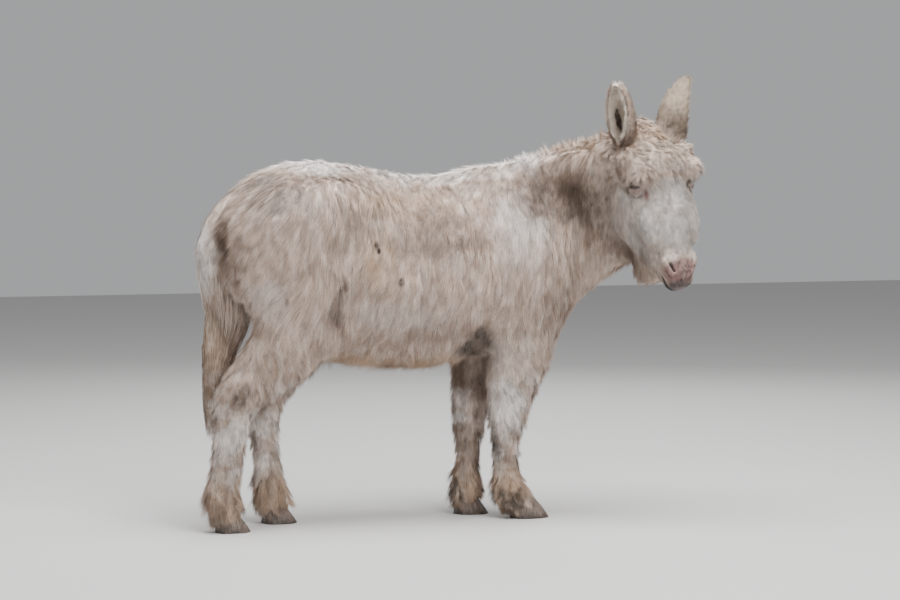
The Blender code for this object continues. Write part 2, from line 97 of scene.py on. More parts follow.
# ------------------------------------------------ stations: x, y, z, half width, half depth
TRUNK = [
    (-0.458, 0, 0.835, 0.085, 0.090),
    (-0.402, 0, 0.830, 0.150, 0.160),
    (-0.330, 0, 0.825, 0.188, 0.225),
    (-0.230, 0, 0.815, 0.205, 0.265),
    (-0.080, 0, 0.765, 0.215, 0.292),
    (0.080, 0, 0.743, 0.222, 0.288),
    (0.200, 0, 0.750, 0.212, 0.285),
    (0.320, 0, 0.775, 0.185, 0.272),
    (0.430, 0, 0.790, 0.158, 0.240),
    (0.510, 0, 0.775, 0.138, 0.190),
    (0.555, 0, 0.750, 0.098, 0.120),
]
NECK = [
    (0.400, 0.000, 0.812, 0.130, 0.238),
    (0.510, -0.012, 0.858, 0.108, 0.218),
    (0.600, -0.050, 0.898, 0.096, 0.210),
    (0.680, -0.110, 0.945, 0.088, 0.195),
    (0.745, -0.175, 1.010, 0.080, 0.165),
]
MANE = [
    (0.400, 0.000, 1.020, 0.030, 0.035),
    (0.500, -0.010, 1.055, 0.028, 0.036),
    (0.590, -0.046, 1.083, 0.027, 0.036),
    (0.670, -0.105, 1.108, 0.027, 0.036),
    (0.735, -0.170, 1.134, 0.028, 0.034),
]
HEAD = [
    head_station(0.01, 0.020, -0.095, 0.074),
    head_station(0.06, 0.048, -0.130, 0.102),
    head_station(0.12, 0.068, -0.160, 0.115),
    head_station(0.18, 0.064, -0.180, 0.114),
    head_station(0.25, 0.052, -0.182, 0.105),
    head_station(0.32, 0.038, -0.155, 0.083),
    head_station(0.370, 0.028, -0.108, 0.062),
    head_station(0.410, 0.020, -0.084, 0.052),
    head_station(0.438, 0.002, -0.074, 0.044),
]
RIGHT_FORE = [
    (0.430, -0.085, 0.620, 0.070, 0.120),
    (0.422, -0.085, 0.520, 0.062, 0.100),
    (0.393, -0.082, 0.440, 0.056, 0.092),
    (0.379, -0.080, 0.360, 0.050, 0.073),
    (0.370, -0.078, 0.290, 0.047, 0.058),
    (0.366, -0.076, 0.210, 0.037, 0.042),
    (0.370, -0.075, 0.155, 0.036, 0.039),
    (0.373, -0.075, 0.115, 0.043, 0.048),
    (0.393, -0.075, 0.070, 0.042, 0.053),
    (0.415, -0.075, 0.030, 0.043, 0.052),
]
LEFT_FORE = [
    (0.370, 0.085, 0.620, 0.070, 0.110),
    (0.345, 0.080, 0.520, 0.062, 0.095),
    (0.325, 0.078, 0.440, 0.056, 0.080),
    (0.313, 0.075, 0.360, 0.050, 0.066),
    (0.305, 0.072, 0.290, 0.047, 0.056),
    (0.300, 0.070, 0.210, 0.037, 0.041),
    (0.297, 0.068, 0.155, 0.036, 0.038),
    (0.294, 0.067, 0.115, 0.043, 0.047),
    (0.296, 0.066, 0.070, 0.042, 0.053),
    (0.305, 0.066, 0.030, 0.043, 0.050),
]
RIGHT_HIND = [
    (-0.280, -0.110, 0.800, 0.085, 0.150),
    (-0.285, -0.110, 0.680, 0.082, 0.145),
    (-0.298, -0.108, 0.590, 0.074, 0.127),
    (-0.340, -0.104, 0.520, 0.064, 0.112),
    (-0.405, -0.098, 0.450, 0.052, 0.086),
    (-0.460, -0.096, 0.390, 0.044, 0.067),
    (-0.482, -0.092, 0.320, 0.042, 0.057),
    (-0.485, -0.088, 0.240, 0.041, 0.051),
    (-0.494, -0.085, 0.175, 0.041, 0.049),
    (-0.503, -0.082, 0.125, 0.045, 0.052),
    (-0.495, -0.080, 0.080, 0.045, 0.054),
    (-0.480, -0.080, 0.030, 0.044, 0.050),
]
LEFT_HIND = [
    (-0.270, 0.110, 0.800, 0.085, 0.150),
    (-0.250, 0.110, 0.680, 0.082, 0.145),
    (-0.225, 0.106, 0.590, 0.074, 0.125),
    (-0.250, 0.098, 0.520, 0.064, 0.105),
    (-0.285, 0.088, 0.450, 0.054, 0.082),
    (-0.320, 0.078, 0.390, 0.047, 0.064),
    (-0.338, 0.070, 0.320, 0.042, 0.053),
    (-0.335, 0.065, 0.240, 0.038, 0.045),
    (-0.328, 0.062, 0.175, 0.037, 0.043),
    (-0.325, 0.060, 0.125, 0.044, 0.049),
    (-0.313, 0.060, 0.080, 0.044, 0.055),
    (-0.295, 0.060, 0.030, 0.043, 0.050),
]
TAIL = [
    (-0.428, 0.000, 0.955, 0.034, 0.036),
    (-0.464, 0.000, 0.890, 0.040, 0.042),
    (-0.482, 0.000, 0.800, 0.045, 0.046),
    (-0.478, 0.006, 0.700, 0.046, 0.052),
    (-0.470, 0.018, 0.600, 0.040, 0.056),
    (-0.484, 0.020, 0.500, 0.033, 0.042),
    (-0.503, 0.018, 0.390, 0.023, 0.023),
    (-0.514, 0.018, 0.290, 0.010, 0.010),
]

# rounded forms over the stations: centre, radii, blend; both sides where off the middle
BODY_FORMS = {
    "haunch": ((-0.270, 0.115, 0.890), (0.150, 0.085, 0.120), 0.05),
    "hip": ((-0.160, 0.138, 0.940), (0.090, 0.050, 0.060), 0.08),
    "shoulder": ((0.395, 0.112, 0.740), (0.100, 0.055, 0.170), 0.05),
    "breast": ((0.522, 0.055, 0.640), (0.055, 0.060, 0.085), 0.04),
    "elbow": ((0.350, 0.105, 0.560), (0.045, 0.040, 0.050), 0.03),
    "stifle": ((-0.205, 0.120, 0.590), (0.060, 0.055, 0.065), 0.04),
}
# the same on the head: down the face, out of the forehead, to the side
HEAD_FORMS = {
    "forelock": ((0.108, 0.040, 0.0), (0.056, 0.045, 0.080), 0.03),
    "temple": ((0.084, -0.004, 0.098), (0.054, 0.060, 0.040), 0.03),
    "brow": ((0.134, 0.024, 0.092), (0.036, 0.056, 0.037), 0.035),
    "cheek_bone": ((0.256, -0.010, 0.070), (0.094, 0.045, 0.037), 0.03),
    "cheek": ((0.205, -0.100, 0.062), (0.100, 0.085, 0.055), 0.03),
    "jaw_beard": ((0.340, -0.128, 0.0), (0.092, 0.076, 0.052), 0.03),
    "nostril_wing": ((0.396, -0.008, 0.034), (0.036, 0.034, 0.025), 0.015),
    "upper_lip": ((0.428, -0.020, 0.0), (0.026, 0.038, 0.042), 0.015),
    "lower_lip": ((0.424, -0.068, 0.0), (0.026, 0.024, 0.034), 0.012),
}
HEAD_HOLLOWS = {
    "eye_hollow": ((0.172, 0.010, 0.128), (0.022, 0.030, 0.024), 0.012),
}
EYE_AT = (0.170, 0.002, 0.095)
EYE_RADIUS = 0.019

# the two sides of the animal
SIDES = {"left": 1, "right": -1}

# ears, by side
EAR_LENGTH = 0.205
EAR_ROOT = {1: (0.022, -0.014, 0.080), -1: (0.026, -0.026, -0.070)}
EAR_FORWARD = {1: math.radians(18), -1: math.radians(38)}
EAR_OUT = {1: math.radians(34), -1: math.radians(25)}
EAR_TURN = math.radians(62)       # the opening looks this far out from the face
EAR_DEEP = 1.5                    # how much deeper the roll is than it is wide
EAR_WALL = 0.009
EAR_SHAPE = [                     # along, half width, half angle of the roll
    (0.00, 0.025, 180), (0.15, 0.032, 158), (0.35, 0.039, 126),
    (0.60, 0.038, 104), (0.82, 0.030, 88), (0.94, 0.019, 76), (1.00, 0.008, 70),
]

# ---------------------------------------------------------------- where the parts meet
NECK_CUT = (np.array([0.465, 0.0, 0.880]), np.array([0.764, 0.0, 0.645]))
HEAD_CUT = (on_head(-0.02, -0.080), 0.38 * DOWN + 0.925 * FRONT)
FORE_X, HIND_X, LEG_TOP = 0.235, -0.170, 0.560    # a leg's own coat is before, behind and below
HOOVES = {                        # heel x, toe x, middle y
    "right_fore": (0.385, 0.503, -0.075),
    "left_fore": (0.257, 0.362, 0.066),
    "right_hind": (-0.522, -0.420, -0.080),
    "left_hind": (-0.346, -0.240, 0.060),
}
HOOF_HALF, TOE_HIGH, HEEL_HIGH, TOE_RAKE = 0.042, 0.056, 0.034, 0.044


# ---------------------------------------------------------------- small helpers
def fade(x, start, end):
    """0 at the start, 1 at the end, and level beyond them."""
    return np.clip((x - start) / (end - start), 0, 1)


def unit(v):
    return v / np.linalg.norm(v)


def unit_rows(v):
    return v / np.maximum(np.linalg.norm(v, axis=1), 1e-9)[:, None]


def square_to(v, axis):
    """The way of v that is square to a unit axis."""
    return unit(v - np.dot(v, axis) * axis)


# ---------------------------------------------------------------- rounded surfaces
def smooth_min(a, b, k):
    h = np.clip(0.5 + 0.5 * (b - a) / k, 0, 1)
    return b * (1 - h) + a * h - k * h * (1 - h)


def carved(d, tool, k):
    """A shape with another taken out of it."""
    return -smooth_min(-d, tool, k)


def capsule(p, a, b, r):
    v = b - a
    t = np.clip((p - a) @ v / (v @ v), 0, 1)
    return np.linalg.norm(p - a - t[:, None] * v, axis=1) - r


def ellipsoid(p, centre, radii, axes=None):
    q = p - np.asarray(centre)
    if axes is not None:
        q = q @ axes.T
    radii = np.asarray(radii)
    k0 = np.linalg.norm(q / radii, axis=1)
    k1 = np.linalg.norm(q / radii ** 2, axis=1)
    return k0 * (k0 - 1) / np.maximum(k1, 1e-9)


def through(rows, per):
    """A smooth run through every row, per steps to each stretch."""
    r = np.asarray(rows, float)
    r = np.vstack([2 * r[0] - r[1], r, 2 * r[-1] - r[-2]])
    out = []
    for i in range(1, len(r) - 2):
        for t in np.arange(per) / per:
            a, b, c, d = r[i - 1], r[i], r[i + 1], r[i + 2]
            out.append(0.5 * (2 * b + (c - a) * t + (2 * a - 5 * b + 4 * c - d) * t * t
                              + (3 * b - a - 3 * c + d) * t ** 3))
    return np.vstack(out + [r[-2]])


def swept(p, stations, left=(0.0, 1.0, 0.0), egg=0.0):
    """Distance to an oval limb run through its stations."""
    rows = through(stations, 4)
    centre, half = rows[:, :3], rows[:, 3:]
    reach = half.max() + 0.12
    near = np.all((p > centre.min(0) - reach) & (p < centre.max(0) + reach), axis=1)
    out = np.full(len(p), 1.0)
    if not near.any():
        return out
    q = p[near]
    best = np.full(len(q), 1e3)
    for i in range(len(rows) - 1):
        a, b = centre[i], centre[i + 1]
        length = np.linalg.norm(b - a)
        along = (b - a) / length
        side = square_to(np.asarray(left), along)
        v = q - a
        s = v @ along
        t = np.clip(s / length, 0, 1)
        w = half[i][0] * (1 - t) + half[i + 1][0] * t
        h = half[i][1] * (1 - t) + half[i + 1][1] * t
        x, y = v @ side, v @ np.cross(along, side)
        w = w * (1 + egg * np.clip(y / h, -1, 1))
        over = s - t * length
        k0 = np.sqrt((x / w) ** 2 + (y / h) ** 2 + (over / w) ** 2)
        k1 = np.sqrt((x / w ** 2) ** 2 + (y / h ** 2) ** 2 + (over / w ** 2) ** 2)
        best = np.minimum(best, k0 * (k0 - 1) / np.maximum(k1, 1e-6))
    out[near] = best
    return out


def with_forms(d, p, forms, on_face=False, sign=1):
    """Forms added to a shape, or with sign -1 taken out of it, on both sides."""
    for (x, y, z), radii, k in forms.values():
        off_middle = z if on_face else y
        for side in (1, -1) if off_middle else (1,):
            if on_face:
                form = ellipsoid(p, on_head(x, y, z * side), radii, HEAD_AXES)
            else:
                form = ellipsoid(p, (x, y * side, z), radii)
            d = sign * smooth_min(sign * d, form, k)
    return d


def torso(p):
    """The whole animal but its legs, ears and tail."""
    head = with_forms(swept(p, HEAD, left=LEFT, egg=-0.1), p, HEAD_FORMS, on_face=True)
    head = with_forms(head, p, HEAD_HOLLOWS, on_face=True, sign=-1)
    d = smooth_min(swept(p, TRUNK, egg=-0.16), swept(p, NECK, egg=-0.25), 0.09)
    d = with_forms(d, p, BODY_FORMS)
    d = smooth_min(d, swept(p, MANE), 0.03)
    return smooth_min(d, head, 0.035)


def ear_frame(side):
    """Root, then along the ear, out of its opening, and across it."""
    out, lean = EAR_OUT[side], EAR_FORWARD[side]
    along = (math.cos(out) * (math.sin(lean) * FRONT - math.cos(lean) * DOWN)
             + side * math.sin(out) * LEFT)
    opening = math.cos(EAR_TURN) * FRONT + side * math.sin(EAR_TURN) * LEFT
    opening = square_to(opening, along)
    return on_head(*EAR_ROOT[side]), along, opening, np.cross(along, opening)


def ear(side):
    """Distance to a rolled leaf with a plug in its foot."""
    root, along, opening, across = ear_frame(side)
    shape = through(EAR_SHAPE, 5)
    below = 0.012                 # how far the ear goes on under its root

    def distance(p):
        q = p - root
        t = q @ along / EAR_LENGTH
        u, v = q @ opening / EAR_DEEP, q @ across
        wide = np.interp(t, shape[:, 0], shape[:, 1])
        roll = np.radians(np.interp(t, shape[:, 0], shape[:, 2]))
        r, turn = np.hypot(u, v), np.abs(np.arctan2(v, -u))
        wall = np.abs(r - wide + EAR_WALL / 2) - EAR_WALL / 2
        shell = np.maximum(wall, (turn - roll) * r)
        shell = np.maximum(shell, (t - 1) * EAR_LENGTH)
        shell = np.maximum(shell, -t * EAR_LENGTH - below)
        plug = np.maximum(r - wide, (t - 0.10) * EAR_LENGTH)
        plug = np.maximum(plug, -t * EAR_LENGTH - below)
        return smooth_min(shell, plug, 0.006)
    return distance


# ---------------------------------------------------------------- fields to meshes
COARSE = 3                        # a rough step of the grid is this many fine ones
NEAR = 2.2                        # in rough steps, how near the surface a field is exact
FILLED = 0.02                     # in fine steps, how far inside a filled corner lies
AT_ONCE = 200000                  # how many points are worked out together


def in_parts(field, points):
    """A field at many points, worked out a part at a time."""
    parts = np.array_split(points, len(points) // AT_ONCE + 1)
    return np.concatenate([field(part) for part in parts])


def grid(low, counts, step):
    axes = [low[i] + step * np.arange(counts[i]) for i in range(3)]
    return np.stack(np.meshgrid(*axes, indexing="ij"), -1).reshape(-1, 3)


def sampled(field, low, counts, step):
    """A field on a grid: exact near its surface, rough elsewhere, and outside at the box's sides."""
    few = (counts + COARSE - 1) // COARSE + 1
    rough = field(grid(low, few, step * COARSE)).reshape(few)
    rough = np.kron(rough, np.ones((COARSE,) * 3))
    a, b, c = counts
    rough = np.roll(rough[:a + COARSE, :b + COARSE, :c + COARSE], (1, 1, 1), (0, 1, 2))
    f = rough[:a, :b, :c].copy()
    near = np.abs(f.ravel()) < step * COARSE * NEAR
    f.ravel()[near] = in_parts(field, grid(low, counts, step)[near])
    for axis in range(3):
        edge = np.moveaxis(f, axis, 0)
        edge[0] = edge[-1] = np.maximum(edge[0], step / 2)
    return f


def unpinch(f, tiny):
    """Fill the grid squares whose two inside corners touch only across them."""
    for _ in range(8):
        found = 0
        for p, q in ((0, 1), (0, 2), (1, 2)):
            g = np.moveaxis(f, (p, q), (0, 1))
            part = [g[i:len(g) - 1 + i, j:g.shape[1] - 1 + j] for i in (0, 1) for j in (0, 1)]
            a, b, c, d = [x < 0 for x in part]
            bad = (a & d & ~b & ~c) | (b & c & ~a & ~d)
            found += bad.sum()
            for x in part:
                x[bad] = np.minimum(x[bad], -tiny)
        if not found:
            break


def crossed_cells(f, inside):
    """Which cells the surface crosses, and the middle of each one's crossings, in cells."""
    cells = tuple(np.array(f.shape) - 1)
    total = np.zeros(cells + (3,))
    count = np.zeros(cells)
    corners = [(i, j, k) for i in (0, 1) for j in (0, 1) for k in (0, 1)]
    view = {c: tuple(slice(c[a], cells[a] + c[a]) for a in range(3)) for c in corners}
    for c in corners:
        for axis in range(3):
            if c[axis]:
                continue
            d = tuple(1 if a == axis else c[a] for a in range(3))
            fa, fb = f[view[c]], f[view[d]]
            cross = inside[view[c]] != inside[view[d]]
            t = np.where(cross, fa / np.where(cross, fa - fb, 1), 0)
            for a in range(3):
                total[..., a] += np.where(cross, c[a] + (t if a == axis else 0), 0)
            count += cross
    has = count > 0
    return has, np.argwhere(has) + total[has] / count[has][:, None]


def crossing_quads(inside, number):
    """A quad of cell numbers round each grid edge that the surface crosses."""
    quads = []
    for axis in range(3):
        b, c = (axis + 1) % 3, (axis + 2) % 3
        one, two = [slice(1, -1)] * 3, [slice(1, -1)] * 3
        one[axis], two[axis] = slice(0, -1), slice(1, None)
        before, after = inside[tuple(one)], inside[tuple(two)]
        crossed = before != after
        at = np.argwhere(crossed) + [0 if a == axis else 1 for a in range(3)]
        ring = []
        for db, dc in ((1, 1), (0, 1), (0, 0), (1, 0)):
            cell = at.copy()
            cell[:, b] -= db
            cell[:, c] -= dc
            ring.append(number[tuple(cell.T)])
        ring = np.stack(ring, 1)
        flip = after[crossed]
        ring[flip] = ring[flip][:, ::-1]
        quads.append(ring)
    return np.vstack(quads)


def surface(field, low, high, step):
    """Closed quads round the part of field below nought inside a box."""
    low, high = np.asarray(low, float), np.asarray(high, float)
    counts = np.ceil((high - low) / step).astype(int) + 1
    f = sampled(field, low, counts, step)
    unpinch(f, step * FILLED)
    inside = f < 0
    has, middles = crossed_cells(f, inside)
    number = np.full(has.shape, -1)
    number[has] = np.arange(has.sum())
    return low + step * middles, crossing_quads(inside, number)


# ---------------------------------------------------------------- the skin inside the coat
def head_side(p):
    """How far a point lies beyond the cut between neck and head."""
    point, normal = HEAD_CUT
    return (p - point) @ unit(normal)


def down_face(p):
    return (p - POLL) @ DOWN


def in_head(p):
    """Down the face, out of the forehead and to the left of the head's middle."""
    return (p - POLL) @ HEAD_AXES.T


def coat_depth(p):
    """How deep the coat is over the trunk, neck and head."""
    a, b, _ = in_head(p).T
    bridge = np.interp(a, (-0.05, 0.10, 0.18, 0.26, 0.34, 0.42), (0.013, 0.013, 0.008, 0.005, 0.003, 0.002))
    jaw = np.interp(a, (-0.05, 0.30, 0.37, 0.42), (0.014, 0.013, 0.009, 0.002))
    face = bridge + (jaw - bridge) * fade(b, -0.02, -0.07)
    beyond = fade(head_side(p), -0.06, 0.04)
    return np.interp(p[:, 2], (0.50, 0.62), (0.018, 0.0135)) * (1 - beyond) + face * beyond


# hollows between the muscles, which the coat follows: centre, radii, blend; on both sides
SKIN_HOLLOWS = {
    "flank": ((-0.128, 0.262, 0.650), (0.050, 0.070, 0.150), 0.040),
    "behind_elbow": ((0.262, 0.235, 0.560), (0.040, 0.060, 0.110), 0.035),
    "shoulder_edge": ((0.240, 0.252, 0.760), (0.034, 0.060, 0.150), 0.050),
    "throat": ((0.600, 0.150, 0.800), (0.030, 0.060, 0.130), 0.040),
    "tail_groove": ((-0.520, 0.095, 0.800), (0.055, 0.026, 0.150), 0.018),
}
LEG_SHAPES = {"right_fore": RIGHT_FORE, "left_fore": LEFT_FORE,
              "right_hind": RIGHT_HIND, "left_hind": LEFT_HIND}
PASTERN_TOP = 0.20                # only below this is a leg's skin ended by its hoof
INTO_HOOF = 0.006                 # how far it goes down into the hoof
TAIL_SKIN, TAIL_END = 0.012, 0.42     # below its end the tail is hair alone
NOSE_MIDDLE = -0.012              # the soft nose leans a little to the right
MOUTH = (0.452, -0.046)           # down the face and out of the forehead
MUZZLE_TOP, FACE_END = 0.325, 0.355   # the muzzle's shell starts before the face's own one ends
EYE_SOCKET = 0.0022               # the room between eyeball and skin
LID_HALF = 0.0150                 # half the length of the open eye, and half its height
LID_GAP = {1: 0.0080, -1: 0.0052}
LID_SHIFT = 0.003                 # the opening's middle lies this far off the eye's
LID_OUT, LID_IN = 0.0034, 0.0003  # the lids' two faces, off the eyeball
LID_BACK = 0.004                  # how far behind the eye's middle the lids go
EAR_INSET = 0.0016                # how far the ear's skin lies inside its solid


def coronet(x, name):
    """How high the hoof's upper edge is."""
    heel, toe, _ = HOOVES[name]
    slope = (TOE_HIGH - HEEL_HIGH) / (toe - TOE_RAKE - heel)
    return HEEL_HIGH + slope * (x - heel)


def skin_torso(p):
    return with_forms(torso(p) + coat_depth(p), p, SKIN_HOLLOWS, sign=-1)


def skin_body(p):
    base = skin_torso(p)
    d = base
    depth = np.interp(p[:, 2], (0.0, 0.07, 0.20, 0.45, 0.65), (0.007, 0.008, 0.009, 0.013, 0.022))
    for name, stations in LEG_SHAPES.items():
        leg = smooth_min(base, swept(p, stations) + depth, 0.05)
        ended = np.maximum(leg, coronet(p[:, 0], name) - INTO_HOOF - p[:, 2])
        d = np.minimum(d, np.where(p[:, 2] < PASTERN_TOP, ended, leg))
    return d


def eye_frame(side):
    """Centre of an eye, the way it looks, the way along its lids and the way across them."""
    x, y, z = EYE_AT
    look = unit(side * LEFT * 0.88 + FRONT * 0.44 - DOWN * 0.10)
    long = square_to(FRONT + DOWN * 0.42, look)
    return on_head(x, y, side * z), look, long, np.cross(look, long)


def skin_head(p):
    d = np.maximum(skin_torso(p), -head_side(p) - 0.05)
    d = np.maximum(d, down_face(p) - FACE_END)
    for side in SIDES.values():
        centre, look, _, _ = eye_frame(side)
        q = p - centre
        reach = np.linalg.norm(q - look * np.maximum(q @ look, 0)[:, None], axis=1)
        d = carved(d, reach - EYE_RADIUS - EYE_SOCKET, 0.004)
    return d


def nostril_ends(side):
    middle = NOSE_MIDDLE + side * 0.037
    return on_head(0.394, 0.004, middle + side * 0.002), on_head(0.430, 0.010, middle - side * 0.006)


def skin_muzzle(p):
    """The soft end of the face: nostrils with raised rims, lips and chin."""
    d = np.maximum(skin_torso(p), MUZZLE_TOP - down_face(p))
    for side in SIDES.values():
        top, low = nostril_ends(side)
        rim = capsule(p, top - 0.008 * FRONT, low - 0.006 * FRONT, 0.0120)
        d = smooth_min(d, rim, 0.010)
        inward = -0.008 * FRONT - side * 0.004 * LEFT
        for deeper in (-2.0, -1.0, 0.0, 1.0, 1.8):
            d = carved(d, capsule(p, top + inward * deeper, low + inward * deeper, 0.0050), 0.003)
    lip = capsule(p, on_head(0.452, -0.022, -0.028), on_head(0.452, -0.022, 0.026), 0.014)
    d = smooth_min(d, lip, 0.014)
    slit = ellipsoid(p, on_head(*MOUTH, NOSE_MIDDLE), (0.036, 0.0030, 0.052), HEAD_AXES)
    groove = capsule(p, on_head(0.428, 0.024, NOSE_MIDDLE), on_head(0.470, -0.012, NOSE_MIDDLE), 0.0022)
    return carved(carved(d, slit, 0.003), groove, 0.006)


def from_opening(p, side, long_half=LID_HALF, wider=0.0):
    """How far off the middle of the open eye a point is: 1 at the opening's edge."""
    centre, _, long, across = eye_frame(side)
    q = p - centre
    return np.hypot(q @ long / long_half, (q @ across + side * LID_SHIFT) / (LID_GAP[side] + wider))


def lids(side):
    centre, look, _, _ = eye_frame(side)

    def distance(p):
        q = p - centre
        out, z = np.linalg.norm(q, axis=1), q @ look
        shell = np.maximum(out - EYE_RADIUS - LID_OUT, EYE_RADIUS + LID_IN - out)
        shell = np.maximum(shell, -z - LID_BACK)
        opening = (from_opening(p, side) - 1) * LID_GAP[side]
        return carved(shell, np.where(z > 0, opening, 1), 0.0012)
    return distance


def skin_ear(side):
    field = ear(side)
    return lambda p: field(p) + EAR_INSET


def skin_tail(p):
    return np.maximum(swept(p, TAIL) + TAIL_SKIN, TAIL_END - p[:, 2])


def box_of(origin, axes, *reaches):
    """The upright box round a turned one: from and to, along each of the axes."""
    a, b, c = axes
    ends = [origin + x * a + y * b + z * c for x, y, z in itertools.product(*reaches)]
    return np.min(ends, axis=0), np.max(ends, axis=0)


def skin_shells():
    """Each shell of the skin by name: its points and quads, in the body's frame."""
    fine = 0.6      # the head's shells have finer steps in the full model
    muzzle_box = box_of(POLL, HEAD_AXES, (0.31, 0.49), (-0.13, 0.06), (-0.09, 0.09))
    shells = {
        "body": surface(skin_body, (-0.56, -0.46, 0.0), (0.92, 0.26, 1.26), 0.008),
        "head": surface(skin_head, (0.60, -0.56, 0.60), (0.98, -0.02, 1.26), 0.0055 * fine),
        "muzzle": surface(skin_muzzle, *muzzle_box, 0.0032 * fine),
    }
    for name, side in SIDES.items():
        centre = eye_frame(side)[0]
        shells["lids_" + name] = surface(lids(side), centre - 0.028, centre + 0.028, 0.0018 * fine)
        root, *axes = ear_frame(side)
        ear_box = box_of(root, axes, (-0.12 * EAR_LENGTH, 1.05 * EAR_LENGTH), (-0.06, 0.07), (-0.05, 0.05))
        shells["ear_" + name] = surface(skin_ear(side), *ear_box, 0.0042 * fine)
    shells["tail"] = surface(skin_tail, (-0.60, -0.10, 0.20), (-0.38, 0.10, 1.02), 0.009)
    return shells


def mesh_object(name, points, faces, material, origin=BODY_AT):
    """A smooth mesh from arrays; faces has three or four point numbers to a row."""
    mesh = bpy.data.meshes.new(name)
    points = np.asarray(points, float) + origin
    mesh.vertices.add(len(points))
    mesh.vertices.foreach_set("co", points.astype(np.float32).ravel())
    n, k = faces.shape
    mesh.loops.add(n * k)
    mesh.loops.foreach_set("vertex_index", faces.astype(np.int32).ravel())
    mesh.polygons.add(n)
    mesh.polygons.foreach_set("loop_start", np.arange(0, n * k, k, dtype=np.int32))
    mesh.polygons.foreach_set("use_smooth", np.full(n, True))
    mesh.update(calc_edges=True)
    mesh.validate()
    mesh.materials.append(material)
    ob = bpy.data.objects.new(name, mesh)
    bpy.context.scene.collection.objects.link(ob)
    return ob


def two_triangles(quads):
    return np.vstack([quads[:, [0, 1, 2]], quads[:, [0, 2, 3]]])


def corner_cross(points, tri):
    return np.cross(points[tri[:, 1]] - points[tri[:, 0]], points[tri[:, 2]] - points[tri[:, 0]])


def point_normals(points, tri):
    n = corner_cross(points, tri)
    out = np.zeros_like(points)
    for k in range(3):
        np.add.at(out, tri[:, k], n)
    return out / np.maximum(np.linalg.norm(out, axis=1), 1e-12)[:, None]


# ---------------------------------------------------------------- materials
class Tree:
    """A short way to write node trees: values, links and numbers go in as inputs."""

    def __init__(self, name):
        self.material = bpy.data.materials.new(name)
        self.material.use_nodes = True
        self.tree = self.material.node_tree
        self.shader = self.tree.nodes["Principled BSDF"]
        self.place = self.node("TexCoord").outputs["Object"]

    def node(self, kind, inputs=None, **settings):
        made = self.tree.nodes.new("ShaderNode" + kind)
        for key, value in settings.items():
            setattr(made, key, value)
        for key, value in (inputs or {}).items():
            self.put(made.inputs[key], value)
        return made

    def put(self, socket, value):
        if isinstance(value, bpy.types.NodeSocket):
            self.tree.links.new(value, socket)
        else:
            socket.default_value = value

    def surface(self, tint, rough, **more):
        for key, value in {"Base Color": tint, "Roughness": rough, **more}.items():
            self.put(self.shader.inputs[key.replace("_", " ")], value)

    def maths(self, operation, a, b=0.0):
        return self.node("Math", {0: a, 1: b}, operation=operation).outputs[0]

    def vector(self, operation, a, b=(0, 0, 0)):
        made = self.node("VectorMath", {0: a, 1: b}, operation=operation)
        return made.outputs["Value" if operation in ("LENGTH", "DOT_PRODUCT") else "Vector"]

    def part(self, vector, letter):
        return self.node("SeparateXYZ", {0: vector}).outputs[letter]

    def noise(self, scale, detail=3.0, rough=0.55, stretch=None):
        at = self.vector("MULTIPLY", self.place, stretch) if stretch else self.place
        made = self.node("TexNoise", {"Vector": at, "Scale": scale, "Detail": detail, "Roughness": rough})
        return made.outputs["Fac"]

    def spread(self, value, low, high, to_low=0.0, to_high=1.0):
        made = self.node("MapRange", {0: value, 1: low, 2: high, 3: to_low, 4: to_high},
                         interpolation_type="SMOOTHSTEP")
        return made.outputs[0]

    def product(self, first, *others):
        for other in others:
            first = self.maths("MULTIPLY", first, other)
        return first

    def mix(self, amount, a, b, blend="MIX"):
        made = self.node("Mix", {0: amount, 6: a, 7: b}, data_type="RGBA", blend_type=blend)
        return made.outputs[2]

    def layer(self, tint, shade, *amounts):
        """The colour shade laid over tint, by the product of the amounts."""
        return self.mix(self.product(*amounts), tint, shade)

    def blob(self, at, centre, radii, soft):
        """1 inside an oval patch, falling to 0 at its edge."""
        off = self.vector("SUBTRACT", at, tuple(centre))
        off = self.vector("DIVIDE", off, tuple(radii))
        return self.spread(self.vector("LENGTH", off), 1.0, 1.0 - soft)

    def own_place(self, origin, axes):
        """The place from an origin along other axes: as a vector, and its parts."""
        off = self.vector("SUBTRACT", self.place, on_body(origin))
        parts = [self.vector("DOT_PRODUCT", off, tuple(axis)) for axis in axes]
        return self.node("CombineXYZ", dict(enumerate(parts))).outputs[0], parts

    def attribute(self, name):
        return self.node("Attribute", attribute_name=name).outputs["Fac"]

    def bump(self, height, strength, distance):
        made = self.node("Bump", {"Height": height, "Strength": strength, "Distance": distance})
        self.put(self.shader.inputs["Normal"], made.outputs[0])


def on_body(place):
    return tuple(np.asarray(place) + BODY_AT)


def colour(r, g, b):
    return (r, g, b, 1.0)


IVORY = colour(0.72, 0.62, 0.55)
CREAM = colour(0.56, 0.455, 0.365)
EAR_TAN = colour(0.26, 0.200, 0.142)
EAR_INSIDE = colour(0.88, 0.80, 0.70)
PALE = colour(0.56, 0.54, 0.52)
SAND = colour(0.50, 0.385, 0.315)
BEIGE = colour(0.37, 0.265, 0.205)
BROWN = colour(0.125, 0.080, 0.056)
UMBER = colour(0.030, 0.021, 0.015)
TAN = colour(0.42, 0.270, 0.160)
STRAW = colour(0.27, 0.190, 0.125)
WHITE = colour(0.86, 0.82, 0.79)
GREY = colour(0.19, 0.16, 0.14)
DUSK = colour(0.085, 0.058, 0.042)
PINK = colour(0.245, 0.120, 0.114)
LID = colour(0.15, 0.085, 0.082)
SLATE = colour(0.045, 0.038, 0.038)
LIPS = colour(0.070, 0.052, 0.050)
# painted shadow in the mouth's slit
MOUTH_SHADOW = colour(0.015, 0.012, 0.012)
# painted shadow inside the nostrils
NOSTRIL_SHADOW = colour(0.030, 0.014, 0.012)
# painted shade in the deep fold of each ear
CLEFT_SHADOW = colour(0.040, 0.028, 0.020)
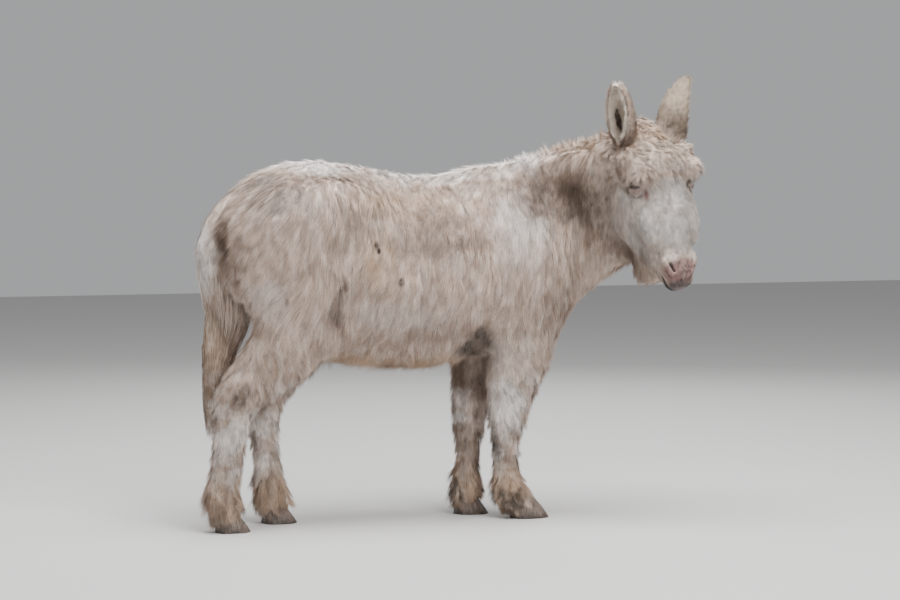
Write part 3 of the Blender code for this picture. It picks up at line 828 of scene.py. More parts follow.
RIM_DARK = colour(0.06, 0.035, 0.032)
HORN_PALE, HORN_DARK = colour(0.17, 0.130, 0.105), colour(0.085, 0.062, 0.050)
EYE_EDGE, EYE_IRIS = colour(0.045, 0.026, 0.020), colour(0.020, 0.011, 0.008)
EYE_PUPIL = colour(0.004, 0.003, 0.003)

# where the coat is darker or paler: centre in the body's frame, radii, colour, how much
MARKS = {
    # croup, topline and withers: painted highlight, the top of the back whitened where the light from above
    # falls
    "croup_highlight": ((-0.170, 0.00, 1.065), (0.200, 0.180, 0.070), WHITE, 1.00),
    "topline_highlight": ((0.130, 0.00, 1.020), (0.330, 0.150, 0.045), WHITE, 0.75),
    "withers_highlight": ((0.420, 0.00, 1.060), (0.160, 0.100, 0.080), WHITE, 0.80),
    "shoulder": ((0.385, -0.17, 0.880), (0.130, 0.130, 0.190), WHITE, 0.48),
    "shoulder_left": ((0.370, 0.17, 0.880), (0.130, 0.130, 0.190), WHITE, 0.60),
    "saddle": ((0.040, 0.00, 0.930), (0.240, 0.900, 0.055), TAN, 0.45),
    "ribs": ((0.100, -0.19, 0.845), (0.190, 0.200, 0.110), BROWN, 0.52),
    "ribs_left": ((0.060, 0.18, 0.850), (0.150, 0.200, 0.090), BROWN, 0.45),
    "rust": ((-0.070, -0.20, 0.780), (0.080, 0.120, 0.095), TAN, 0.70),
    # flank: painted shadow in the fold where the thigh stands over the barrel, partly brownish hair
    "flank": ((-0.185, 0.00, 0.650), (0.030, 0.900, 0.120), BROWN, 0.90),
    "hip": ((-0.345, 0.00, 0.965), (0.135, 0.900, 0.062), GREY, 0.80),
    "rump": ((-0.330, 0.00, 0.840), (0.180, 0.900, 0.120), BROWN, 0.24),
    "buttock": ((-0.485, 0.00, 0.815), (0.050, 0.900, 0.140), BROWN, 0.80),
    "thigh": ((-0.370, -0.16, 0.670), (0.070, 0.120, 0.090), WHITE, 0.35),
    "thigh_left": ((-0.350, 0.16, 0.660), (0.070, 0.120, 0.090), WHITE, 0.35),
    "belly_side": ((0.000, 0.00, 0.620), (0.260, 0.900, 0.070), WHITE, 0.22),
    "barrel_low": ((0.100, 0.00, 0.560), (0.140, 0.900, 0.050), BROWN, 0.35),
    "belly": ((0.000, 0.00, 0.450), (0.460, 0.230, 0.070), TAN, 0.90),
    "belly_shade": ((0.000, 0.00, 0.430), (0.420, 0.180, 0.060), BROWN, 0.75),
    # elbows: painted shadow in the gap behind each elbow, between the foreleg and the belly
    "elbow_right_shadow": ((0.275, -0.12, 0.512), (0.085, 0.180, 0.105), UMBER, 1.00),
    "elbow_deep_shadow": ((0.268, -0.12, 0.510), (0.062, 0.160, 0.080), UMBER, 0.95),
    "elbow_left_shadow": ((0.262, 0.22, 0.505), (0.055, 0.120, 0.075), BROWN, 0.70),
    "chest": ((0.500, 0.00, 0.620), (0.120, 0.400, 0.120), BROWN, 0.48),
    # neck_right to the mark behind the jaw: the neck's brown hair, with painted shade where the head shades
    # the neck
    "neck_right": ((0.480, -0.14, 0.965), (0.165, 0.180, 0.150), BROWN, 0.92),
    "neck_streak": ((0.600, -0.15, 0.960), (0.080, 0.170, 0.150), DUSK, 0.70),
    "neck_deep_brown_and_shade": ((0.515, -0.14, 0.950), (0.120, 0.160, 0.095), DUSK, 0.85),
    "neck_brown_and_shade_behind_jaw": ((0.630, -0.19, 0.870), (0.075, 0.140, 0.180), DUSK, 0.45),
    "neck_left": ((0.600, 0.03, 0.960), (0.120, 0.110, 0.150), DUSK, 0.60),
    "crest": ((0.620, -0.09, 1.100), (0.140, 0.120, 0.040), CREAM, 0.75),
    "forearms": ((0.370, 0.00, 0.480), (0.110, 0.900, 0.110), IVORY, 0.60),
    "knees": ((0.345, -0.12, 0.330), (0.100, 0.100, 0.120), WHITE, 0.80),
    "knee_left": ((0.290, 0.05, 0.320), (0.060, 0.080, 0.070), IVORY, 0.50),
    "shins": ((-0.370, 0.02, 0.230), (0.070, 0.110, 0.130), IVORY, 0.85),
    "hock_right": ((-0.465, -0.14, 0.390), (0.036, 0.080, 0.055), UMBER, 0.80),
    "hock_left": ((-0.330, 0.12, 0.400), (0.036, 0.080, 0.055), UMBER, 0.70),
    # inner forelegs: brown hair, with painted shade on the far foreleg and between the forelegs
    "inner_forelegs_brown_and_shade": ((0.320, 0.04, 0.430), (0.110, 0.085, 0.110), BROWN, 0.85),
    "cannons_behind": ((0.255, 0.00, 0.220), (0.035, 0.300, 0.100), BROWN, 0.60),
    "cannons_fore": ((0.320, 0.00, 0.190), (0.100, 0.300, 0.085), BROWN, 0.60),
    "cannon_behind": ((0.325, -0.09, 0.215), (0.035, 0.050, 0.100), UMBER, 0.70),
    "tail_top": ((-0.545, 0.00, 0.770), (0.080, 0.120, 0.140), WHITE, 0.80),
    # dock side: painted shadow in the grooves beside the tail's dock
    "dock_side_shadow": ((-0.510, 0.00, 0.830), (0.036, 0.900, 0.050), DUSK, 0.60),
    "tail_long": ((-0.500, 0.02, 0.460), (0.090, 0.090, 0.300), STRAW, 0.85),
    "tail_end": ((-0.500, 0.02, 0.370), (0.090, 0.090, 0.190), BROWN, 0.68),
    # tail side: painted shadow along the tail's right edge, between the tail and the thigh
    "tail_side_shadow": ((-0.475, -0.05, 0.760), (0.022, 0.050, 0.130), UMBER, 0.60),
}
# small lumps of dried mud caught in the hair: place and size
CLODS = [
    ((-0.339, -0.195, 0.662), 0.013), ((-0.075, -0.209, 0.824), 0.012),
    ((-0.006, -0.228, 0.715), 0.015), ((0.102, -0.224, 0.635), 0.012),
    ((0.090, -0.169, 0.911), 0.010), ((-0.069, -0.200, 0.806), 0.008),
]
# the head's own marks, as in MARKS, but down the face, out of the forehead, to the left
FACE_MARKS = {
    "blaze": ((0.262, -0.030, 0.000), (0.200, 0.185, 0.240), PALE, 0.88),
    "forehead": ((0.075, 0.040, 0.000), (0.080, 0.090, 0.160), CREAM, 0.80),
    "brows": ((0.125, 0.030, 0.000), (0.036, 0.070, 0.170), IVORY, 0.55),
    "poll": ((0.012, 0.020, 0.000), (0.050, 0.070, 0.090), TAN, 0.60),
    # under the brows: painted shadow below the overhanging brow hair
    "shadow_under_brows": ((0.160, 0.040, -0.010), (0.013, 0.060, 0.110), TAN, 0.62),
    "whorl": ((0.240, 0.052, -0.024), (0.030, 0.034, 0.012), BROWN, 0.45),
    # lower cheek and jaw: brownish hair, with painted shade at the bottom of the cheek and under the jaw
    "cheek_low_brown_and_shade": ((0.352, -0.090, 0.000), (0.045, 0.038, 0.150), BROWN, 0.62),
    "jaw": ((0.290, -0.165, 0.000), (0.150, 0.085, 0.140), BROWN, 0.92),
    "beard": ((0.385, -0.105, 0.000), (0.045, 0.045, 0.070), TAN, 0.40),
}
CLOD_SHAPE = (1.0, 1.6, 1.5)
# round each eye, off its middle: down the face, out of the forehead, outward
EYE_MARKS = [
    ((-0.004, -0.026, 0.010), (0.014, 0.022, 0.022), BROWN, 0.60),
    ((0.008, 0.006, 0.010), (0.018, 0.024, 0.028), LID, 0.80),
    ((0.028, 0.022, -0.006), (0.026, 0.011, 0.020), PINK, 0.85),
]
LEFT_EYE_MARK = ((0.010, 0.034, -0.022), (0.020, 0.022, 0.020), SLATE, 0.94)
EAR_TAN_SHARE = {1: 0.94, -1: 0.30}


def patches(t, tint, at, marks, soft, rag, least, origin=(0, 0, 0)):
    """Oval marks laid over a colour, down to least of their strength where rag is nought."""
    for centre, radii, shade, much in marks.values():
        mask = t.blob(at, np.add(centre, origin), radii, soft)
        tint = t.layer(tint, shade, mask, t.spread(rag, 0.0, 1.0, least * much, much))
    return tint


def eye_marks(t, tint, face, side):
    """A dark corner, a dusky lid and a pink streak below, with slate before the left eye."""
    for off, radii, shade, much in EYE_MARKS + [LEFT_EYE_MARK] * (side > 0):
        down, front, out = np.add(EYE_AT, off)
        tint = t.layer(tint, shade, t.blob(face, (down, front, out * side), radii, 0.65), much)
    return tint


def ear_place(t, side):
    """The place in an ear's own axes, and whether it is in the ear's hollow."""
    root, *axes = ear_frame(side)
    at, (along, opening, across) = t.own_place(root, axes)
    flat = t.node("CombineXYZ", {0: t.maths("DIVIDE", opening, EAR_DEEP), 1: across}).outputs[0]
    up = t.maths("SUBTRACT", t.maths("DIVIDE", along, EAR_LENGTH), 0.45)
    wide = t.maths("SUBTRACT", 0.039, t.product(up, up, 0.08))
    depth = t.maths("SUBTRACT", wide, t.vector("LENGTH", flat))
    return at, t.spread(depth, 0.0045, 0.0062)


def ear_marks(t, tint, side, rag, streaky):
    """Tan outside, dusky at the foot, and pale with brown streaks in the hollow."""
    at, inside = ear_place(t, side)
    whole = t.blob(at, (0.110, 0.0, 0.0), (0.140, 0.080, 0.060), 0.25)
    foot = t.spread(t.part(at, "X"), 0.110, 0.030)
    tint = t.layer(tint, EAR_TAN, whole, EAR_TAN_SHARE[side])
    tint = t.layer(tint, DUSK, foot, whole, t.spread(rag, 0.0, 1.0, 0.40, 0.85))
    tint = t.layer(tint, EAR_INSIDE, inside, whole, 0.85)
    return t.layer(tint, BROWN, inside, streaky, 0.22)


def leg_marks(t, tint, height):
    """Mottled with mud below the knees, tan and dark at the fetlocks."""
    pale = t.spread(t.noise(13.0, 4.0, 0.65), 0.44, 0.60)
    mud = t.spread(t.noise(26.0, 5.0, 0.72, stretch=(1.0, 1.0, 0.5)), 0.49, 0.64)
    lumps = t.spread(t.noise(15.0, 4.0, 0.65, stretch=(1.0, 1.0, 0.6)), 0.47, 0.61)
    fore = t.spread(t.part(t.place, "X"), -0.15, 0.05, 0.55, 1.0)
    low = t.spread(height, 0.50, 0.30)
    tint = t.layer(tint, WHITE, pale, low, 0.55)
    tint = t.layer(tint, BROWN, mud, low, 0.60)
    tint = t.layer(tint, TAN, t.spread(height, 0.19, 0.09), 0.55)
    return t.layer(tint, UMBER, t.spread(height, 0.28, 0.12), lumps, fore, 0.80)


def clods(t, tint):
    crumbs = t.spread(t.noise(75.0, 3.0, 0.7), 0.30, 0.50, 0.50, 1.0)
    for centre, size in CLODS:
        mask = t.blob(t.place, on_body(centre), np.multiply(CLOD_SHAPE, size), 0.45)
        tint = t.layer(tint, UMBER, mask, crumbs)
    return tint


def markings(t):
    """The colour of skin and coat at a place: the same for both."""
    warp = t.node("TexNoise", {"Vector": t.place, "Scale": 10.0, "Detail": 3.0}).outputs["Color"]
    warp = t.vector("SUBTRACT", warp, (0.5, 0.5, 0.5))
    at = t.vector("ADD", t.place, t.vector("MULTIPLY", warp, (0.12, 0.12, 0.12)))
    face, _ = t.own_place(POLL, HEAD_AXES)
    face_at = t.vector("ADD", face, t.vector("MULTIPLY", warp, (0.06, 0.06, 0.06)))
    patchy = t.spread(t.noise(6.0, 5.0, 0.68), 0.38, 0.62)
    streaky = t.spread(t.noise(42.0, 3.0, 0.6, stretch=(1.0, 1.0, 0.30)), 0.42, 0.66)
    rag = t.spread(t.noise(15.0, 3.0, 0.6, stretch=(1.0, 1.0, 0.6)), 0.34, 0.66)
    tint = t.layer(SAND, BEIGE, patchy, 0.80)
    tint = t.layer(tint, IVORY, streaky, 0.46)
    tint = patches(t, tint, at, MARKS, 0.60, rag, 0.5, BODY_AT)
    tint = patches(t, tint, face_at, FACE_MARKS, 0.65, rag, 0.6)
    for side in SIDES.values():
        tint = eye_marks(t, tint, face, side)
        tint = ear_marks(t, tint, side, rag, streaky)
    tint = leg_marks(t, tint, t.part(at, "Z"))
    return clods(t, tint)


def nose_skin(t, tint):
    """Thinly haired, pink and slate skin at the nostrils, lips and chin, with painted shadow inside the
    nostrils and in the mouth's slit.
    """
    face, _ = t.own_place(POLL, HEAD_AXES)
    fine = t.spread(t.noise(55.0, 4.0, 0.65), 0.46, 0.62)

    def patch(down, front, radii, soft):
        return t.blob(face, (down, front, NOSE_MIDDLE), radii, soft)

    nose = patch(0.432, 0.004, (0.050, 0.050, 0.078), 0.4)
    tint = t.layer(tint, PINK, nose, 0.74)
    tint = t.layer(tint, SLATE, nose, fine, 0.60)
    tint = t.layer(tint, LIPS, patch(0.470, -0.022, (0.034, 0.036, 0.070), 0.6), 0.92)
    tint = t.layer(tint, SLATE, patch(0.465, -0.072, (0.036, 0.040, 0.060), 0.4), 0.92)
    # painted shadow in the slit between the lips
    tint = t.layer(tint, MOUTH_SHADOW, patch(*MOUTH, (0.046, 0.0095, 0.060), 0.4))
    tint = t.layer(tint, SLATE, patch(0.450, 0.006, (0.026, 0.022, 0.0045), 0.6), 0.60)
    for side in SIDES.values():
        middle = in_head(sum(nostril_ends(side))[None] / 2)[0] - (0.0, 0.004, 0.0)
        # painted shadow inside each nostril
        tint = t.layer(tint, NOSTRIL_SHADOW, t.blob(face, middle, (0.022, 0.016, 0.0095), 0.45), 0.92)
    return tint


def inner_ears(t, tint):
    """A dark, ragged cleft in the hollow of each ear: painted shade in the ear's deep fold."""
    for side in SIDES.values():
        at, _ = ear_place(t, side)
        cleft = t.blob(at, (0.076, -0.022, 0.019 * side), (0.068, 0.022, 0.0155), 0.8)
        ragged = t.spread(t.noise(48.0, 3.0, 0.6), 0.32, 0.62, 0.45, 1.0)
        # painted shade in the ear's deep fold
        tint = t.layer(tint, CLEFT_SHADOW, t.spread(t.product(cleft, ragged), 0.14, 0.46), 0.92)
    return tint


def pupil_point(side):
    """The front of an eyeball, where its pupil is."""
    centre, look, _, _ = eye_frame(side)
    return on_body(centre + look * EYE_RADIUS)


def skin_material():
    t = Tree("skin")
    tint = nose_skin(t, t.layer(markings(t), BEIGE, 0.08))
    for side in SIDES.values():
        rim = t.blob(t.place, pupil_point(side), (0.020, 0.020, 0.0075), 0.3)
        tint = t.layer(tint, RIM_DARK, rim, 0.90)
    t.surface(inner_ears(t, tint), 0.62)
    t.bump(t.noise(260.0, 3.0, 0.6, stretch=(1.0, 1.0, 0.3)), 0.5, 0.002)
    return t.material


def coat_material():
    """The skin's markings, with each lock's own tone, and darker at the root: painted shade deep in the
    coat, partly the hair's paler tips.
    """
    t = Tree("coat")
    tint = inner_ears(t, nose_skin(t, markings(t)))
    tone = t.spread(t.attribute("tone"), 0.0, 1.0, 0.66, 1.28)
    # darker towards the root: painted shade deep in the coat, partly the hair's paler tips
    shade = t.product(tone, t.spread(t.attribute("along"), 0.0, 0.6, 0.86, 1.0))
    grey = t.node("CombineColor", {0: shade, 1: shade, 2: shade}).outputs[0]
    t.surface(t.mix(1.0, tint, grey, "MULTIPLY"), 0.55, Specular_IOR_Level=0.3)
    return t.material


def horn_material():
    """Grey-brown horn with growth rings and streaks, dirty at the ground."""
    t = Tree("horn")
    rings = t.noise(1.0, 2.0, 0.5, stretch=(18.0, 18.0, 420.0))
    streaks = t.noise(1.0, 3.0, 0.6, stretch=(190.0, 190.0, 16.0))
    dirt = t.spread(t.noise(70.0, 4.0, 0.7), 0.3, 0.6)
    tint = t.layer(HORN_PALE, HORN_DARK, t.spread(streaks, 0.40, 0.62))
    tint = t.layer(tint, UMBER, t.spread(t.part(t.place, "Z"), 0.026, 0.002), dirt, 0.9)
    t.surface(tint, 0.5)
    t.bump(t.maths("ADD", rings, streaks), 0.5, 0.0012)
    return t.material


def eye_material():
    t = Tree("eye")
    tint = EYE_EDGE
    for radius, soft, shade in ((0.0135, 0.12, EYE_IRIS), (0.0065, 0.25, EYE_PUPIL)):
        for side in SIDES.values():
            tint = t.layer(tint, shade, t.blob(t.place, pupil_point(side), (radius,) * 3, soft))
    t.surface(tint, 0.08, Coat_Weight=0.6)
    return t.material


# ---------------------------------------------------------------- locks of hair
rng = np.random.default_rng(7)
THIN = 1.0
PATCH = 0.003                     # how wide a sheaf's patch of the bake map is
STRAY = 0.06                      # the share of the hair that stands off the rest
ROUND = 2.2                       # how round a lock is shaded across
SUNK = 0.0015                     # how far a lock's root lies under the skin
OFF_GROUND = 0.0012               # hair keeps this far off the ground
THICK = 0.42                      # how deep a lock is for its width
TAPER = 0.25                      # how much of its width it loses on the way to its tip
BEND = 2.6                        # how early in its run a lock rises
OWN_TONE = 0.17                   # how far a spike's tone strays from its sheaf's
CELL = 0.92                       # in spacings, the cell that holds one root at most
SECTION = ((-0.5, -0.25), (0.5, -0.25), (0.0, 0.5))   # a lock's three corners, across and up


def scatter(shell, keep, spacing):
    """Even roots over the part of a shell that keep() accepts: places and normals."""
    points, quads = shell
    tri = two_triangles(quads)
    normals = point_normals(points, tri)
    tri = tri[keep(points[tri].mean(1))]
    area = np.linalg.norm(corner_cross(points, tri), axis=1) / 2
    spacing = spacing * math.sqrt(THIN)
    count = int(area.sum() / spacing ** 2 * 4)
    pick = np.searchsorted(np.cumsum(area) / area.sum(), rng.random(count))
    corner = tri[np.minimum(pick, len(tri) - 1)]
    a, b = rng.random(count), rng.random(count)
    flip = a + b > 1
    a[flip], b[flip] = 1 - a[flip], 1 - b[flip]
    w = np.stack([1 - a - b, a, b], 1)[:, :, None]
    at = (points[corner] * w).sum(1)
    cell = np.floor(at / (spacing * CELL)).astype(int)
    _, first = np.unique(cell, axis=0, return_index=True)
    first.sort()
    return at[first], unit_rows((normals[corner] * w).sum(1))[first]


def wander(p, scale):
    """A smooth swirl, -1 to 1, that turns neighbouring locks together."""
    x, y, z = (p * scale).T
    return (np.sin(x * 1.7 + 2.1 * np.sin(z * 1.3 + 0.7)) + np.sin(z * 2.3 + 1.9 * np.sin(y * 1.9 + x))
            + np.sin(y * 2.9 + 1.3 * np.sin(x * 2.1))) / 3


def clumped(roots, size):
    """Which clump each root is in, and the clump's middle."""
    shifted = roots + 0.35 * size * np.stack([wander(roots + k, 0.9 / size) for k in range(3)], 1)
    _, which = np.unique(np.floor(shifted / size).astype(int), axis=0, return_inverse=True)
    which = which.ravel()
    middle = np.zeros((which.max() + 1, 3))
    np.add.at(middle, which, roots)
    return which, (middle / np.bincount(which)[:, None])[which]


def combed(points, normals, field, height, hold):
    """Points moved along the normals towards their height over the skin."""
    over = in_parts(field, points)
    return points + normals * (np.clip(height - over, -0.05, 0.03) * hold)[:, None]


def flattened(v, normals):
    """What is left of v along the skin."""
    return v - normals * (v * normals).sum(1)[:, None]


def lock_faces(rings):
    """One lock's triangles, and for each 1 on its upper sides and -1 on its under one."""
    tip = 3 * rings
    faces, upper = [], []
    for k in range(rings):
        a = 3 * k
        for j in range(3):
            b = (j + 1) % 3
            band = [(a + j, a + b, a + 3 + b), (a + j, a + 3 + b, a + 3 + j)]
            if k == rings - 1:
                band = [(a + j, a + b, tip)]
            faces += band
            upper += [-1.0 if j == 0 else 1.0] * len(band)
    return np.array(faces + [(0, 2, 1)]), np.array(upper + [-1.0])


def bake_map(ob, faces, place, within, along, spikes):
    """OFBake: each sheaf's patch lies where its root is on the unwrapped body."""
    rings = len(along) // 3
    cross = np.append(np.tile((0.0, 1.0, 0.5), rings), 0.5)
    u = place[:, None, 0] + PATCH * (within[:, None] + cross[None]) / spikes
    v = place[:, None, 1] + PATCH * np.broadcast_to(along, u.shape)
    flat = np.stack([u.ravel(), v.ravel()], 1)
    layer = ob.data.uv_layers.new(name="OFBake")
    layer.uv.foreach_set("vector", flat[faces.ravel()].astype(np.float32).ravel())


def locks(name, material, roots, normals, lie, length, rise, width, unwrap, spikes=3, rings=1,
          spread=0.004, gather=0.3, turn=0.12, curl=0.0, droop=0.0, clump=0.018, pull=0.4,
          vary=0.16, field=None, hold=0.9, route=None):
    """Closed tapering spikes in little sheaves, whose tips lean together in clumps.

    lie is the way the hair points, length and rise its run and its height off
    the skin; droop bends it to the ground; hold is how closely it keeps to the
    skin's own curve in the field given; route may give the whole path.
    """
    n = len(roots)
    which, middle = clumped(roots, clump)
    mate = rng.normal(0, 1, (which.max() + 1, 3))[which]
    tangent = unit_rows(flattened(lie, normals))
    side = np.cross(normals, tangent)
    angle = mate[:, 0] * turn + rng.normal(0, turn * 0.5, n) + wander(roots, 12.0) * 0.30
    tangent = tangent * np.cos(angle)[:, None] + side * np.sin(angle)[:, None]
    side = np.cross(normals, tangent)
    length = length * rng.uniform(0.82, 1.18, n) * (1 + 0.10 * mate[:, 1].clip(-1.5, 1.5))
    rise = rise * (1 + 0.20 * mate[:, 0].clip(-1.5, 1.5))
    lean = flattened(middle - roots, normals) * pull
    tone = 0.5 + mate[:, 2] * vary

    # from here on every array has a row for each spike
    who = np.repeat(np.arange(n), spikes)
    within = np.tile(np.arange(spikes), n)
    m = len(who)
    bearing = 2 * math.pi * (within / spikes) + rng.uniform(0, 2 * math.pi, n)[who]
    root, normals, tangent, side, lean = (v[who] for v in (roots, normals, tangent, side, lean))
    width, droop, hold = ((v * np.ones(n))[who] for v in (width, droop, hold))
    offset = (side * np.cos(bearing)[:, None] + tangent * np.sin(bearing)[:, None]) * spread
    own = length[who] * rng.uniform(0.85, 1.12, m)
    lift = rise[who] * rng.uniform(0.72, 1.0, m) * np.where(rng.random(m) < STRAY, 1.5, 1.0)
    tone = np.clip(tone[who] + rng.normal(0, OWN_TONE, m), 0, 1)
    wave = rng.uniform(0, 2 * math.pi, m)
    thick = width * THICK
    points = []
    for t in np.linspace(0, 1, rings + 1):
        start = root + offset * (1 - gather * t)
        height = lift * (1 - (1 - t) ** BEND)
        if route is None:
            centre = (start + tangent * (own * t)[:, None] + normals * (height - SUNK)[:, None]
                      + side * (curl * own * np.sin(wave + 5.0 * t) * t)[:, None]
                      + lean * t ** 1.5 - UP * (droop * own * t * t)[:, None])
        else:
            centre = route(start, own, t, wave)
        if field is not None and t > 0:
            centre = combed(centre, normals, field, height, hold)
        if t < 1:
            w = width * (1 - TAPER * t)
            points += [centre + side * (s * w)[:, None] + normals * (u * thick)[:, None]
                       for s, u in SECTION]
    points = np.stack(points + [centre], 1)
    points[:, :, 2] = np.maximum(points[:, :, 2], OFF_GROUND)

    each = 3 * rings + 1
    ring, upper = lock_faces(rings)
    faces = (ring[None] + (np.arange(m) * each)[:, None, None]).reshape(-1, 3)
    ob = mesh_object(name, points.reshape(-1, 3), faces, material)
    # a lock is lit like the skin it lies on, a little rounded, and its underside the other way
    across = np.append(np.tile((-0.5, 0.5, 0.0), rings), 0.0)[ring] * ROUND
    lit = normals[:, None, None] * upper[:, None, None] + side[:, None, None] * across[:, :, None]
    ob.data.normals_split_custom_set(unit_rows(lit.reshape(-1, 3)))

    along = np.append(np.repeat(np.linspace(0, 1, rings + 1)[:-1], 3), 1.0)
    place = unwrap(roots)
    place = 0.01 + 0.97 * (place - place.min(0)) / np.maximum(np.ptp(place, axis=0), 1e-6)
    bake_map(ob, faces, place[who], within, along, spikes)
    for key, values in (("tone", np.repeat(tone, each)), ("along", np.tile(along, m))):
        attribute = ob.data.attributes.new(key, "FLOAT", "POINT")
        attribute.data.foreach_set("value", values.astype(np.float32))
    return ob


def round_axis(point, axis, up):
    """An unwrap round an axis: angle across, distance along."""
    axis = unit(np.asarray(axis, float))
    up = square_to(np.asarray(up, float), axis)
    other = np.cross(axis, up)

    def place(p):
        q = p - np.asarray(point)
        return np.stack([np.arctan2(q @ other, -(q @ up)) / (2 * math.pi), q @ axis], 1)
    return place


# ---------------------------------------------------------------- the coat, part by part
def is_head(p):
    return head_side(p) > 0


def is_neck(p):
    point, normal = NECK_CUT
    return ((p - point) @ normal > 0) & ~is_head(p)


def is_leg(p):
    return ((p[:, 0] > FORE_X) | (p[:, 0] < HIND_X)) & (p[:, 2] < LEG_TOP)


def is_rump_middle(p):
    """Where the tail's own long hair lies over the rump."""
    wide = np.interp(p[:, 2], (0.70, 0.90, 1.00), (0.062, 0.056, 0.030))
    return (np.abs(p[:, 1]) < wide) & (p[:, 0] < -0.415) & (p[:, 2] < 1.0) & (p[:, 2] > 0.55)


def is_trunk(p):
    return ~is_head(p) & ~is_neck(p) & ~is_leg(p) & ~is_rump_middle(p)


def lie_of_body(p, n):
    """Back and down over barrel and neck, out from the spine, down at the rump."""
    outward = np.sign(p[:, 1]) * np.clip(n[:, 2], 0, 1)
    lie = np.tile(np.array([-0.34, 0.0, -0.94]), (len(p), 1))
    lie[:, 1] += 0.6 * outward
    low = fade(p[:, 2], 0.68, 0.53)[:, None]
    lie = lie * (1 - low) + np.array([-0.10, 0.0, -1.0]) * low
    rear = fade(p[:, 0], -0.20, -0.40)[:, None]
    of_rump = np.array([-0.62, 0.0, -0.78]) + 0.3 * outward[:, None] * np.array([0.0, 1.0, 0.0])
    lie = lie * (1 - rear) + of_rump * rear
    under = fade(n[:, 2], -0.80, -1.00)[:, None]
    return lie * (1 - under) + np.array([-1.0, 0.0, -0.5]) * under


# each function below gives the name and the settings of one or more pieces for locks()
def trunk_coat(shells):
    """Long hair in four quarters, which keeps each piece small."""
    at, n = scatter(shells["body"], is_trunk, 0.0101)
    around = round_axis((0, 0, 0.76), (1, 0, 0), UP)
    right, front = at[:, 1] < 0, at[:, 0] > 0
    for name, quarter in (("right_front", right & front), ("right_back", right & ~front),
                          ("left_front", ~right & front), ("left_back", ~right & ~front)):
        p, m = at[quarter], n[quarter]
        low = fade(p[:, 2], 0.64, 0.52)
        top = fade(m[:, 2], 0.5, 0.9)
        yield "trunk_" + name, dict(
            roots=p, normals=m, lie=lie_of_body(p, m), unwrap=around, field=skin_body,
            length=0.066 + 0.014 * low - 0.018 * top, rise=0.0125 + 0.004 * low, width=0.0021,
            spikes=6, spread=0.0058, gather=0.25, turn=0.13, pull=0.55, vary=0.20,
            droop=0.04 + 0.10 * low, hold=0.92 - 0.55 * low)


def neck_coat(shells):
    """The neck's hair, then the short upright mane along its crest."""
    at, n = scatter(shells["body"], is_neck, 0.0100)
    foot, top = np.array(NECK[1][:3]), np.array(NECK[4][:3])
    around = round_axis(foot, top - foot, UP)
    yield "neck", dict(
        roots=at, normals=n, lie=lie_of_body(at, n), unwrap=around, field=skin_body,
        length=0.054, rise=0.0135, width=0.0022, spikes=6, spread=0.0056, turn=0.18,
        clump=0.020, pull=0.55, vary=0.20, droop=0.10, hold=0.8)
    crest = through(MANE, 40)[:, :3]
    crest = crest[rng.integers(0, len(crest), int(1100 / THIN))]
    at = crest + rng.normal(0, 1, (len(crest), 3)) * (0.012, 0.012, 0.004)
    lie = unit_rows(np.array([-0.25, 0.0, 1.0]) + rng.normal(0, 0.22, (len(crest), 3)))
    outward = np.stack([0 * at[:, 0], at[:, 1] - crest[:, 1], np.full(len(at), 0.006)], 1)
    yield "mane", dict(
        roots=at, normals=unit_rows(outward), lie=lie, unwrap=around, length=0.040, rise=0.004,
        width=0.0030, rings=2, gather=0.5, turn=0.3, curl=0.12)


def leg_coats(shells):
    """Shaggy hair that grows longer at the back of each fetlock and over the hoof's edge."""
    for name, (heel, toe, y) in HOOVES.items():
        side = SIDES[name.split("_")[0]]

        def own(p):
            end = p[:, 0] > FORE_X if name.endswith("fore") else p[:, 0] < HIND_X
            return is_leg(p) & end & (p[:, 1] * side > 0)
        at, n = scatter(shells["body"], own, 0.0088)
        z = at[:, 2]
        feather = fade(np.abs(z - 0.115), 0.070, 0) * fade(n[:, 0], 0.3, -0.7)
        hem = fade(z, 0.075, 0.045)
        length = np.interp(z, (0.03, 0.10, 0.30, 0.55), (0.034, 0.036, 0.038, 0.050))
        rise = np.interp(z, (0.0, 0.2, 0.45, 0.6), (0.011, 0.0125, 0.015, 0.016))
        yield name, dict(
            roots=at, normals=n, lie=np.tile([-0.14, 0.0, -1.0], (len(at), 1)), field=skin_body,
            unwrap=round_axis(((heel + toe) / 2, y, 0), UP, (1, 0, 0)),
            length=length + 0.026 * feather, rise=rise + 0.008 * feather + 0.003 * hem,
            width=0.0020, spikes=6, spread=0.0050, gather=0.35, turn=0.34, clump=0.022,
            pull=0.75, droop=0.1, hold=0.75 - 0.55 * feather)


def is_haired(p):
    """Where the face has hair: off the eyes, the ears' feet, the nostrils and the mouth."""
    a, b, _ = in_head(p).T
    clear = (a < 0.470) & ~((np.abs(b - MOUTH[1]) < 0.006) & (a > 0.41))
    for side in SIDES.values():
        centre, look, _, _ = eye_frame(side)
        clear &= ~((from_opening(p, side, 0.020, 0.0052) < 1) & ((p - centre) @ look > 0))
        clear &= np.linalg.norm(p - ear_frame(side)[0], axis=1) > 0.020
        clear &= capsule(p, *nostril_ends(side), 0.0085) > 0
    return clear


def lie_of_face(a, b, c, jaw):
    """Down the face and outward, round a whorl between the eyes and the nose."""
    lie = DOWN + LEFT * (c * 3.0)[:, None] - FRONT * (0.5 * jaw)[:, None]
    whorl = np.exp(-((a - 0.235) / 0.045) ** 2 - ((c + 0.010) / 0.06) ** 2) * (b > 0)
    out = unit_rows(np.stack([a - 0.240, 0 * a, c + 0.012], 1)) @ HEAD_AXES
    return lie * (1 - whorl)[:, None] + out * (1.6 * whorl)[:, None]


